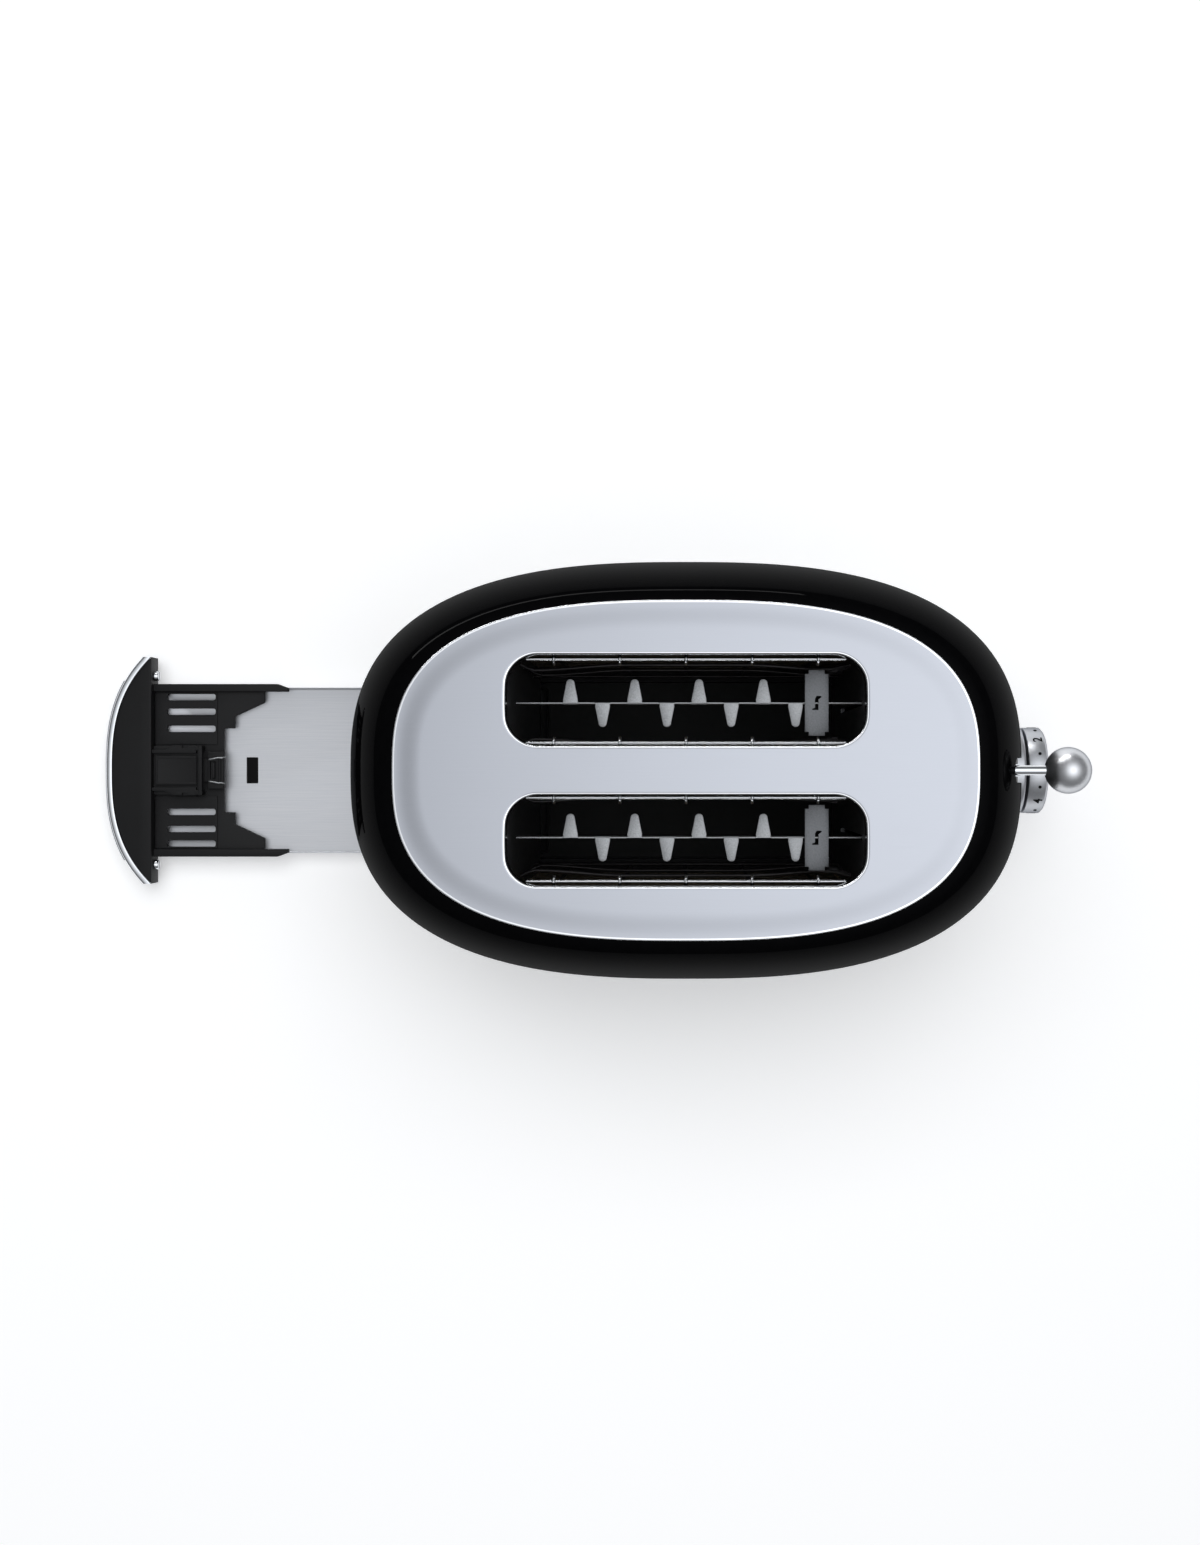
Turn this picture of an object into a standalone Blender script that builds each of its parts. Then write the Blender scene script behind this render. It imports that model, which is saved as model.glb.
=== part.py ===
# Two-slice toaster with a drawn-out crumb tray, a lift lever and a browning dial.
# The origin is the centre of the flat underside of the base pan, +Z is up and +X points to the lever.
import math

import bmesh
import bpy
from mathutils import Vector

MM = 0.001

# Shared fits and sheet gauges
FIT = 0.3 * MM
CUT_OVERRUN = 2.0 * MM
WELD = 0.4 * MM

# Body shell
BODY_HALF_LENGTH = 153.0 * MM
BODY_HALF_WIDTH = 96.0 * MM
BODY_POWER = 2.64
WAIST_HEIGHT = 65.0 * MM
BODY_HEIGHT = 188.0 * MM
BODY_WALL = 1.2 * MM
BASE_INSET = 4.0 * MM
SHOULDER_RUN_LENGTH = 33.3 * MM
SHOULDER_RUN_WIDTH = 26.6 * MM
PLATE_POWER = 2.74
PLATE_LEDGE = 5.0 * MM
BODY_SEGMENTS = 64
SHOULDER_STEPS = 7

# Top plate and bread slots
PLATE_THICKNESS = 1.2 * MM
SLOT_END_BORDER = 46.2 * MM
SLOT_SIDE_BORDER = 22.15 * MM
SLOT_WEB = 19.9 * MM
SLOT_END_FLAT = 6.65 * MM
SLOT_LIP_WALL = 1.0 * MM
SLOT_LIP_DEPTH = 5.0 * MM
CORNER_STEPS = 5

# Base pan, base band and feet
BAND_HEIGHT = 16.0 * MM
BAND_BOTTOM = 0.8 * MM
BAND_WALL = 1.5 * MM
FLOOR_THICKNESS = 2.5 * MM
PAN_WALL = 2.5 * MM
FOOT_HEIGHT = 5.0 * MM
FOOT_RADIUS = 8.0 * MM
FOOT_TAPER = 1.0 * MM
FOOT_END_BORDER = 49.0 * MM
FOOT_SIDE_BORDER = 37.0 * MM
BASE_SCREW_BORDER = 18.0 * MM
SCREW_HEAD_RADIUS = 3.2 * MM
SCREW_HEAD_HEIGHT = 2.0 * MM
SCREW_SHANK_RADIUS = 1.4 * MM
BASE_SCREW_LENGTH = 12.0 * MM
GATE_RING_RADIUS = 12.0 * MM
GATE_RING_WIDTH = 1.0 * MM
GATE_RING_DEPTH = 0.5 * MM

# Toasting space between the two bulkheads
BULKHEAD_THICKNESS = 2.0 * MM
BULKHEAD_SIDE_BORDER = 32.0 * MM
BULKHEAD_TO_PLATE = 6.5 * MM
REFLECTOR_FROM_SLOT = 10.75 * MM
REFLECTOR_THICKNESS = 0.8 * MM
REFLECTOR_BOTTOM = 20.0 * MM
CARD_FROM_SLOT = 4.75 * MM
CARD_INNER_Y = 6.5 * MM
CARD_THICKNESS = 0.9 * MM
CARD_BOTTOM = 24.0 * MM
CARD_TOP_DROP = 3.5 * MM
CARD_NOTCH_PITCH = 12.0 * MM
CARD_NOTCH_DEPTH = 1.5 * MM

# Guide grids, which close on the slice when the lever goes down
GRID_WIRE_RADIUS = 0.8 * MM
GRID_STAY_RADIUS = 0.7 * MM
GRID_STAY_OFFSET = 1.0 * MM
GRID_EDGE_GAP = 1.3 * MM
GRID_PIVOT_Z = 50.0 * MM
GRID_TOP_DROP = 5.5 * MM
GRID_END_BORDER = 7.5 * MM
GRID_STAY_BORDER = 11.4 * MM
GRID_BAR_SHARES = (0.4, 0.7, 1.0)
GRID_STAY_COUNT = 5
WIRE_SIDES = 6

# Carriage, racks and lever
LEVER_DROP = 28.0 * MM
LEVER_LOW_CLEARANCE = 12.65 * MM
STEM_RADIUS = 2.1 * MM
BALL_RADIUS = 9.9 * MM
BALL_STAND = 8.6 * MM
BALL_SEAT_DEPTH = 6.0 * MM
RACK_BACK_GAP = 2.2 * MM
RACK_TOP_DROP = 31.6 * MM
RACK_HEIGHT = 10.4 * MM
RACK_THICKNESS = 1.0 * MM
TOOTH_START_RIGHT = 24.3 * MM
TOOTH_START_LEFT = 38.0 * MM
TOOTH_END_GAP = 3.85 * MM
TOOTH_TIP_GAP = 8.45 * MM
TOOTH_ROOT = 6.3 * MM
TOOTH_TIP = 3.6 * MM
TOOTH_THICKNESS = 1.2 * MM
TOOTH_COUNT = 4
RACK_STOP_BORDER = 23.1 * MM
RACK_STOP_LENGTH = 10.1 * MM
RACK_STOP_SIDE_GAP = 4.7 * MM
RACK_STOP_THICKNESS = 1.2 * MM
RACK_STOP_NOTCH = 1.6 * MM
CARRIAGE_GAP = 2.5 * MM
CARRIAGE_THICKNESS = 1.6 * MM
CARRIAGE_OVERHANG = 4.4 * MM
CARRIAGE_PLATE_HEIGHT = 28.0 * MM
CARRIAGE_OVER_STEM = 6.0 * MM
SLEEVE_LENGTH = 22.0 * MM
SLEEVE_HALF_WIDTH = 9.0 * MM
SLEEVE_HALF_DEPTH = 8.0 * MM
ARM_REACH = 28.0 * MM
ARM_THICKNESS = 3.0 * MM
ARM_HALF_DEPTH = 6.0 * MM
ROD_STAND = 10.0 * MM
ROD_RADIUS = 3.0 * MM
ROD_TOP_DROP = 0.5 * MM
ROD_BOSS_RADIUS = 6.0 * MM
ROD_BOSS_HEIGHT = 3.5 * MM
ROD_ARM_DROP = 6.0 * MM
ROD_ARM_THICKNESS = 2.5 * MM
SPRING_RADIUS = 5.3 * MM
SPRING_WIRE_RADIUS = 0.5 * MM
SPRING_TURNS = 10
SPRING_STEPS = 8
SPRING_SIDES = 4
CATCH_THICKNESS = 2.0 * MM
CATCH_HALF_SIZE = 6.5 * MM
MAGNET_Y = 18.5 * MM
MAGNET_SHELF = 30.0 * MM
MAGNET_BRACKET_HALF = 8.0 * MM
MAGNET_BRACKET_WALL = 1.5 * MM
COIL_RADIUS = 6.2 * MM
CORE_RADIUS = 3.0 * MM
CORE_HEIGHT = 3.2 * MM
CONTACT_Y = -19.0 * MM
CONTACT_HALF_LENGTH = 7.0 * MM
CONTACT_HALF_WIDTH = 8.0 * MM
CONTACT_HEIGHT = 50.0 * MM
LEAF_THICKNESS = 0.8 * MM

# Lever slot and its guide
LEVER_SLOT_WIDTH = 11.0 * MM
LEVER_SLOT_MARGIN_LOW = 6.0 * MM
LEVER_SLOT_MARGIN_HIGH = 8.0 * MM
GUIDE_SLOT_WIDTH = 5.6 * MM
GUIDE_BORDER = 4.0 * MM
GUIDE_WALL = 1.5 * MM
GUIDE_DEPTH = 12.0 * MM

# Browning dial
DIAL_Z = 45.0 * MM
BEZEL_RADIUS = 22.35 * MM
BEZEL_STAND = 10.6 * MM
BEZEL_BORE_RADIUS = 3.6 * MM
BEZEL_DEPTH = 20.0 * MM
KNOB_GAP = 1.3 * MM
KNOB_DEPTH = 9.6 * MM
KNOB_RADIUS = 21.0 * MM
KNOB_CHAMFER = 1.4 * MM
KNOB_RIM = 3.4 * MM
KNOB_DISH = 1.5 * MM
KNOB_BAR_WIDTH = 4.0 * MM
KNOB_BORE_DEPTH = 5.4 * MM
SHAFT_RADIUS = 3.0 * MM
DIAL_HOLE_RADIUS = 5.0 * MM

# Control board and what sits on it
BOARD_SETBACK = 35.6 * MM
BOARD_THICKNESS = 1.6 * MM
BOARD_HALF_WIDTH = 45.0 * MM
BOARD_BOTTOM = 12.0 * MM
BOARD_TOP = 74.0 * MM
BOARD_POST_SIZE = 8.0 * MM
BOARD_POST_Y = 38.0 * MM
POT_RADIUS = 8.0 * MM
POT_DEPTH = 8.0 * MM
SWITCH_SIZE = 6.0 * MM
SWITCH_DEPTH = 2.5 * MM

# Push buttons
BUTTON_RADIUS = 4.5 * MM
BUTTON_Y = 36.0 * MM
BUTTON_LOW_Z = 38.0 * MM
BUTTON_HIGH_Z = 56.0 * MM
BUTTON_SETBACK = 2.6 * MM
BUTTON_HEAD_DEPTH = 12.0 * MM
BUTTON_STEM_RADIUS = 2.0 * MM
BUTTON_TRAVEL = 2.5 * MM
BUTTON_CHAMFER = 0.6 * MM

# Mains parts
GLAND_END_GAP = 14.5 * MM
GLAND_BORDER = 24.0 * MM
GLAND_NECK_RADIUS = 4.7 * MM
GLAND_FLANGE_RADIUS = 7.5 * MM
GLAND_BORE_RADIUS = 3.0 * MM
GLAND_FLANGE_HEIGHT = 1.7 * MM
TERMINAL_GAP = 7.5 * MM
TERMINAL_BORDER = 40.0 * MM
TERMINAL_LENGTH = 18.0 * MM
TERMINAL_WIDTH = 12.0 * MM
TERMINAL_HEIGHT = 12.0 * MM
TERMINAL_SLOT = 2.0 * MM

# Crumb tray, written where it stands when it is pushed home
TRAY_DRAWN_OUT = 147.5 * MM
TRAY_FRONT_BORDER = 34.0 * MM
TRAY_BAND_WALL = 1.5 * MM
TRAY_BAND_HEIGHT = 15.4 * MM
STRIP_BORDER = 12.0 * MM
STRIP_THICKNESS = 1.2 * MM
STRIP_BOTTOM = 4.0 * MM
STRIP_TOP = 13.0 * MM
HANDLE_DEPTH = 26.5 * MM
HANDLE_HEIGHT = 11.7 * MM
HANDLE_POCKET_GAP = 4.2 * MM
FRONT_ARC_STEPS = 20
CARRIER_BORDER = 13.65 * MM
CARRIER_THICKNESS = 2.0 * MM
CARRIER_RAIL_WIDTH = 3.85 * MM
CARRIER_RAIL_HEIGHT = 5.2 * MM
CARRIER_RAIL_LENGTH = 65.0 * MM
CARRIER_RAIL_CHAMFER = 5.1 * MM
CARRIER_WING_LENGTH = 52.7 * MM
CARRIER_WING_INSET = 9.45 * MM
CARRIER_SHOULDER_LENGTH = 37.3 * MM
CARRIER_SHOULDER_INSET = 16.65 * MM
CARRIER_EDGE_LENGTH = 31.7 * MM
CARRIER_EDGE_INSET = 22.75 * MM
GRILLE_START = 2.4 * MM
GRILLE_LENGTH = 25.2 * MM
GRILLE_SLOT_WIDTH = 3.3 * MM
GRILLE_ROW_INSETS = (22.95 * MM, 14.15 * MM, 6.65 * MM)
CRUMB_PAN_INSET = 1.55 * MM
CRUMB_PAN_DEPTH = 3.7 * MM
CRUMB_PAN_SHEET = 0.6 * MM
CRUMB_HOLE_START = 41.9 * MM
CRUMB_HOLE_LENGTH = 6.1 * MM
CRUMB_HOLE_HALF_WIDTH = 6.9 * MM
TRAY_SCREW_BORDER = 9.5 * MM
TRAY_SCREW_RADIUS = 2.6 * MM
TRAY_SCREW_TIP_GAP = 4.1 * MM
CHANNEL_GAP = 0.85 * MM
CHANNEL_WALL = 2.0 * MM
CHANNEL_HEIGHT = 14.0 * MM
CHANNEL_END_GAP = 8.5 * MM
CHANNEL_STOP_HEIGHT = 10.0 * MM

# Latch on the tray
LATCH_HALF_WIDTH = 12.8 * MM
LATCH_COVER_LENGTH = 20.0 * MM
LATCH_COVER_HEIGHT = 5.0 * MM
LATCH_WALL = 2.0 * MM
LATCH_TRAVEL = 4.0 * MM
LATCH_TONGUE_LENGTH = 14.0 * MM
LATCH_TONGUE_HALF_WIDTH = 6.0 * MM
LATCH_TONGUE_HEIGHT = 2.0 * MM
LATCH_BLOCK_LENGTH = 8.4 * MM
LATCH_BLOCK_HALF_WIDTH = 9.6 * MM
LATCH_BLOCK_HEIGHT = 3.4 * MM
LATCH_BAR_LENGTH = 2.2 * MM
LATCH_BAR_HEIGHT = 5.0 * MM
LATCH_WIRE_RADIUS = 0.45 * MM
LATCH_WIRE_Y = 7.1 * MM
LATCH_WIRE_LENGTH = 6.5 * MM

# Places and sizes worked out from the values above
PLATE_HALF_LENGTH = BODY_HALF_LENGTH - SHOULDER_RUN_LENGTH
PLATE_HALF_WIDTH = BODY_HALF_WIDTH - SHOULDER_RUN_WIDTH
SLOT_LENGTH = 2 * (PLATE_HALF_LENGTH - SLOT_END_BORDER)
SLOT_WIDTH = PLATE_HALF_WIDTH - SLOT_SIDE_BORDER - SLOT_WEB / 2
SLOT_Y = (SLOT_WEB + SLOT_WIDTH) / 2
SLOT_CORNER = SLOT_WIDTH / 2 - SLOT_END_FLAT
SHELL_BOTTOM = BAND_HEIGHT + FIT
BAND_HALF_LENGTH = BODY_HALF_LENGTH - BASE_INSET
BAND_HALF_WIDTH = BODY_HALF_WIDTH - BASE_INSET
PAN_HALF_LENGTH = BAND_HALF_LENGTH - BAND_WALL - FIT
PAN_HALF_WIDTH = BAND_HALF_WIDTH - BAND_WALL - FIT
PAN_TOP = BAND_HEIGHT - FIT
STEP_ON_FLOOR = FLOOR_THICKNESS + FIT
FOOT_X = BAND_HALF_LENGTH - FOOT_END_BORDER
FOOT_Y = BAND_HALF_WIDTH - FOOT_SIDE_BORDER
BASE_SCREW_Y = BAND_HALF_WIDTH - BASE_SCREW_BORDER

BULKHEAD_X = SLOT_LENGTH / 2 + SLOT_LIP_WALL
BULKHEAD_OUTER_X = BULKHEAD_X + BULKHEAD_THICKNESS
BULKHEAD_HALF_WIDTH = BODY_HALF_WIDTH - BULKHEAD_SIDE_BORDER
BULKHEAD_TOP = BODY_HEIGHT - BULKHEAD_TO_PLATE
REFLECTOR_Y = SLOT_Y + SLOT_WIDTH / 2 + REFLECTOR_FROM_SLOT
CARD_OUTER_Y = SLOT_Y + SLOT_WIDTH / 2 + CARD_FROM_SLOT
CARD_TOP = BULKHEAD_TOP - CARD_TOP_DROP
GRID_TOP_Z = BULKHEAD_TOP - GRID_TOP_DROP
GRID_BAR_HALF_LENGTH = SLOT_LENGTH / 2 - GRID_END_BORDER
GRID_STAY_PITCH = 2 * (GRID_BAR_HALF_LENGTH - GRID_STAY_BORDER) / (GRID_STAY_COUNT - 1)

DIAL_TOP = DIAL_Z + BEZEL_RADIUS
LEVER_Z = BODY_HEIGHT - LEVER_DROP
LEVER_TRAVEL = LEVER_Z - DIAL_TOP - LEVER_LOW_CLEARANCE
BALL_X = BODY_HALF_LENGTH + BALL_STAND
RACK_BACK_X = RACK_BACK_GAP - BULKHEAD_X
RACK_TOP = BODY_HEIGHT - RACK_TOP_DROP
RACK_STOP_X = SLOT_LENGTH / 2 - RACK_STOP_BORDER
RACK_STOP_WIDTH = SLOT_WIDTH - 2 * RACK_STOP_SIDE_GAP
TOOTH_STARTS = (TOOTH_START_RIGHT - SLOT_LENGTH / 2, TOOTH_START_LEFT - SLOT_LENGTH / 2)
TOOTH_PITCH = (RACK_STOP_X - TOOTH_END_GAP - TOOTH_STARTS[1]) / (TOOTH_COUNT - 1)
TOOTH_LENGTH = SLOT_WIDTH / 2 - TOOTH_TIP_GAP
CARRIAGE_X = BULKHEAD_OUTER_X + CARRIAGE_GAP
CARRIAGE_HALF_WIDTH = SLOT_Y + CARRIAGE_OVERHANG
CARRIAGE_TOP = LEVER_Z + CARRIAGE_OVER_STEM
CARRIAGE_BOTTOM = CARRIAGE_TOP - SLEEVE_LENGTH
ROD_X = CARRIAGE_X + ROD_STAND
ROD_TOP = BULKHEAD_TOP - ROD_TOP_DROP
ROD_ARM_BOTTOM = ROD_TOP - ROD_ARM_DROP
SLEEVE_END_X = ROD_X + SLEEVE_HALF_DEPTH
ARM_END_X = ROD_X + ARM_HALF_DEPTH

BEZEL_FACE_X = BODY_HALF_LENGTH + BEZEL_STAND
KNOB_BACK_X = BEZEL_FACE_X + KNOB_GAP
KNOB_FRONT_X = KNOB_BACK_X + KNOB_DEPTH
BOARD_X = BODY_HALF_LENGTH - BOARD_SETBACK
BUTTON_FACE_X = BODY_HALF_LENGTH - BUTTON_SETBACK
GLAND_X = BULKHEAD_X - GLAND_END_GAP
GLAND_Y = BAND_HALF_WIDTH - GLAND_BORDER
TERMINAL_X = BULKHEAD_OUTER_X + TERMINAL_GAP
TERMINAL_Y = BAND_HALF_WIDTH - TERMINAL_BORDER

TRAY_FLOOR = STEP_ON_FLOOR
TRAY_FRONT_HALF_WIDTH = BAND_HALF_WIDTH - TRAY_FRONT_BORDER
STRIP_HALF_WIDTH = TRAY_FRONT_HALF_WIDTH - STRIP_BORDER
TRAY_SCREW_Y = TRAY_FRONT_HALF_WIDTH - TRAY_SCREW_BORDER
HANDLE_FACE_X = HANDLE_DEPTH - BAND_HALF_LENGTH
HANDLE_POCKET_X = HANDLE_FACE_X + HANDLE_POCKET_GAP
BEHIND_HANDLE_X = HANDLE_FACE_X + FIT
CARRIER_HALF_WIDTH = TRAY_FRONT_HALF_WIDTH - CARRIER_BORDER
CRUMB_PAN_HALF_WIDTH = CARRIER_HALF_WIDTH - CRUMB_PAN_INSET
CHANNEL_HALF_WIDTH = CARRIER_HALF_WIDTH + CHANNEL_GAP
CHANNEL_END_X = ROD_X - CHANNEL_END_GAP
CRUMB_PAN_BACK_X = CHANNEL_END_X - 2 * CHANNEL_WALL
CARRIER_BOTTOM = TRAY_FLOOR + CRUMB_PAN_DEPTH + FIT
LATCH_FLOOR = CARRIER_BOTTOM + CARRIER_THICKNESS + FIT


def clear_scene():
    for item in list(bpy.data.objects):
        bpy.data.objects.remove(item, do_unlink=True)


def make_material(name, colour, roughness, metallic):
    material = bpy.data.materials.new(name)
    material.use_nodes = True
    surface = material.node_tree.nodes["Principled BSDF"]
    surface.inputs["Base Color"].default_value = (*colour, 1)
    surface.inputs["Roughness"].default_value = roughness
    surface.inputs["Metallic"].default_value = metallic
    material.diffuse_color = (*colour, 1)
    return material


def make_materials():
    return {
        "enamel": make_material("black_enamel", (0.010, 0.010, 0.011), 0.12, 0.0),
        "satin": make_material("satin_steel", (0.56, 0.58, 0.61), 0.35, 1.0),
        "chrome": make_material("chrome_plate", (0.62, 0.63, 0.65), 0.08, 1.0),
        "sheet": make_material("galvanised_sheet", (0.36, 0.37, 0.38), 0.45, 1.0),
        "dark_sheet": make_material("blackened_sheet", (0.045, 0.045, 0.048), 0.5, 0.6),
        "plastic": make_material("black_plastic", (0.018, 0.018, 0.020), 0.55, 0.0),
        "mica": make_material("mica_card", (0.42, 0.36, 0.27), 0.5, 0.0),
        "board": make_material("board_laminate", (0.05, 0.16, 0.07), 0.5, 0.0),
        "ceramic": make_material("ivory_resin", (0.62, 0.58, 0.50), 0.5, 0.0),
        "copper": make_material("copper_winding", (0.55, 0.25, 0.12), 0.35, 1.0),
        "rubber": make_material("foot_rubber", (0.03, 0.03, 0.03), 0.8, 0.0),
    }


def make_joint(name, home, rest_shift=Vector((0, 0, 0))):
    """An empty on a joint's axis: home is where its pieces are drawn, rest_shift leads to the rest pose."""
    empty = bpy.data.objects.new(name, None)
    bpy.context.collection.objects.link(empty)
    empty.location = home + rest_shift
    empty["home"] = home
    return empty


def make_object(name, bm, material=None, joint=None, smooth=False):
    bmesh.ops.recalc_face_normals(bm, faces=bm.faces)
    mesh = bpy.data.meshes.new(name)
    if joint:
        bmesh.ops.translate(bm, verts=bm.verts, vec=-Vector(joint["home"]))
    bm.to_mesh(mesh)
    bm.free()
    piece = bpy.data.objects.new(name, mesh)
    bpy.context.collection.objects.link(piece)
    if material:
        mesh.materials.append(material)
    if joint:
        piece.parent = joint
    if smooth:
        mesh.shade_smooth()
        mesh.set_sharp_from_angle(angle=math.radians(35))
    return piece


def combine(piece, name, bm, operation, joint=None):
    """Adds a Boolean with a hidden tool shape to a piece."""
    tool = make_object(name, bm, joint=joint)
    tool.hide_render = True
    tool.display_type = "WIRE"
    modifier = piece.modifiers.new(name, "BOOLEAN")
    modifier.operation = operation
    modifier.solver = "EXACT"
    modifier.object = tool
    return tool


def cut(piece, name, bm, joint=None):
    return combine(piece, name, bm, "DIFFERENCE", joint)


def join(piece, name, bm, joint=None):
    return combine(piece, name, bm, "UNION", joint)


def add_rings(bm, rings, closed=False):
    """Skins a stack of point rings; a stack that isn't closed gets a cap at each end."""
    rows = [[bm.verts.new(point) for point in ring] for ring in rings]
    count = len(rows[0])
    pairs = list(zip(rows, rows[1:]))
    if closed:
        pairs.append((rows[-1], rows[0]))
    for lower, upper in pairs:
        for index in range(count):
            following = (index + 1) % count
            bm.faces.new((lower[index], lower[following], upper[following], upper[index]))
    if not closed:
        bm.faces.new(list(reversed(rows[0])))
        bm.faces.new(rows[-1])


def add_extrusion(bm, outline, travel):
    """A solid whose flat outline is pulled along a vector."""
    add_rings(bm, [outline, [point + travel for point in outline]])


def add_box(bm, low, high):
    corners = [
        Vector((low[0], low[1], low[2])),
        Vector((high[0], low[1], low[2])),
        Vector((high[0], high[1], low[2])),
        Vector((low[0], high[1], low[2])),
    ]
    add_extrusion(bm, corners, Vector((0, 0, high[2] - low[2])))


def circle(centre, radius, sides, axis):
    """Points round an axis, which is X, Y or Z."""
    points = []
    for index in range(sides):
        angle = 2 * math.pi * (index + 0.5) / sides
        across = radius * math.cos(angle)
        along = radius * math.sin(angle)
        if axis == "X":
            points.append(Vector((centre[0], centre[1] + across, centre[2] + along)))
        elif axis == "Y":
            points.append(Vector((centre[0] + along, centre[1], centre[2] + across)))
        else:
            points.append(Vector((centre[0] + across, centre[1] + along, centre[2])))
    return points


def add_cylinder(bm, start, length, radius, sides, axis):
    travel = {"X": Vector((length, 0, 0)), "Y": Vector((0, length, 0)), "Z": Vector((0, 0, length))}[axis]
    add_extrusion(bm, circle(start, radius, sides, axis), travel)


def add_turned(bm, profile, centre, sides, axis, closed=False):
    """Turns (place along the axis, radius) pairs; a radius of zero closes the shape with a point."""
    rings = []
    for place, radius in profile:
        shift = {"X": Vector((place, 0, 0)), "Z": Vector((0, 0, place))}[axis]
        rings.append((circle(centre, radius, sides, axis), shift, radius))
    rows = []
    for ring, shift, radius in rings:
        if radius > 0:
            rows.append([bm.verts.new(point + shift) for point in ring])
        else:
            rows.append([bm.verts.new(Vector(centre) + shift)])
    pairs = list(zip(rows, rows[1:]))
    if closed:
        pairs.append((rows[-1], rows[0]))
    for lower, upper in pairs:
        for index in range(sides):
            following = (index + 1) % sides
            if len(lower) == 1:
                bm.faces.new((lower[0], upper[following], upper[index]))
            elif len(upper) == 1:
                bm.faces.new((lower[index], lower[following], upper[0]))
            else:
                bm.faces.new((lower[index], lower[following], upper[following], upper[index]))


def add_wire(bm, points, radius, sides):
    """A round wire through a list of points."""
    rings = []
    normal = None
    for index, point in enumerate(points):
        before = points[max(index - 1, 0)]
        after = points[min(index + 1, len(points) - 1)]
        tangent = (after - before).normalized()
        if normal is None:
            helper = Vector((0, 0, 1)) if abs(tangent.z) < 0.9 else Vector((1, 0, 0))
            normal = tangent.cross(helper).normalized()
        normal = (normal - tangent * normal.dot(tangent)).normalized()
        side = tangent.cross(normal)
        ring = []
        for step in range(sides):
            angle = 2 * math.pi * step / sides
            ring.append(point + radius * (math.cos(angle) * normal + math.sin(angle) * side))
        rings.append(ring)
    add_rings(bm, rings)


def oval(half_x, half_y, power, z):
    """A superellipse at height z."""
    points = []
    for index in range(BODY_SEGMENTS):
        angle = 2 * math.pi * index / BODY_SEGMENTS
        across = math.cos(angle)
        along = math.sin(angle)
        x = math.copysign(abs(across) ** (2 / power), across) * half_x
        y = math.copysign(abs(along) ** (2 / power), along) * half_y
        points.append(Vector((x, y, z)))
    return points


def rounded_slot(centre_x, centre_y, length, width, corner, z):
    """A rectangle with round corners, seen from above."""
    points = []
    for quarter in range(4):
        sign_x = 1 if quarter in (0, 3) else -1
        sign_y = 1 if quarter in (0, 1) else -1
        corner_x = centre_x + sign_x * (length / 2 - corner)
        corner_y = centre_y + sign_y * (width / 2 - corner)
        for step in range(CORNER_STEPS + 1):
            angle = math.pi / 2 * (quarter + step / CORNER_STEPS)
            x = corner_x + corner * math.cos(angle)
            points.append(Vector((x, corner_y + corner * math.sin(angle), z)))
    return points


def upright_slot(x, width, bottom, top):
    """The outline of a tall slot with round ends, in a plane across X."""
    radius = width / 2
    points = []
    for end, centre_z in enumerate((top - radius, bottom + radius)):
        for step in range(CORNER_STEPS + 1):
            angle = math.pi * (end + step / CORNER_STEPS)
            points.append(Vector((x, radius * math.cos(angle), centre_z + radius * math.sin(angle))))
    return points


def body_ring(height, grow):
    """The body's outer outline at a height, grown outwards by a distance."""
    if height < WAIST_HEIGHT:
        share = (WAIST_HEIGHT - height) / (WAIST_HEIGHT - SHELL_BOTTOM)
        inset = BASE_INSET * share * share
        return oval(BODY_HALF_LENGTH - inset + grow, BODY_HALF_WIDTH - inset + grow, BODY_POWER, height)
    rise = (height - WAIST_HEIGHT) / (BODY_HEIGHT - WAIST_HEIGHT + grow)
    lean = 1 - math.sqrt(max(0, 1 - rise * rise))
    half_x = BODY_HALF_LENGTH + grow - lean * (BODY_HALF_LENGTH - PLATE_HALF_LENGTH - FIT)
    half_y = BODY_HALF_WIDTH + grow - lean * (BODY_HALF_WIDTH - PLATE_HALF_WIDTH - FIT)
    return oval(half_x, half_y, BODY_POWER + lean * (PLATE_POWER - BODY_POWER), height)


def body_heights(top):
    """Heights at which the body's outline is drawn, closer together near the rolled shoulder."""
    heights = [SHELL_BOTTOM, (SHELL_BOTTOM + WAIST_HEIGHT) / 2, WAIST_HEIGHT]
    for step in range(1, SHOULDER_STEPS + 1):
        height = WAIST_HEIGHT + (BODY_HEIGHT - WAIST_HEIGHT) * math.sin(math.pi / 2 * step / SHOULDER_STEPS)
        heights.append(height)
    return [height for height in heights if height < top - FIT] + [top]


def add_body_envelope(bm, grow, top):
    """A solid the shape of the body, for cutting pieces that fit against it."""
    add_rings(bm, [body_ring(height, grow) for height in body_heights(top)])


def front_arc(inset, half_width, z):
    """The base outline round the tray's front, from its -Y end to its +Y end."""
    half_x = BAND_HALF_LENGTH - inset
    half_y = BAND_HALF_WIDTH - inset
    points = []
    for step in range(FRONT_ARC_STEPS + 1):
        y = half_width * (2 * step / FRONT_ARC_STEPS - 1)
        points.append(Vector((-half_x * (1 - (abs(y) / half_y) ** BODY_POWER) ** (1 / BODY_POWER), y, z)))
    return points


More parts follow.
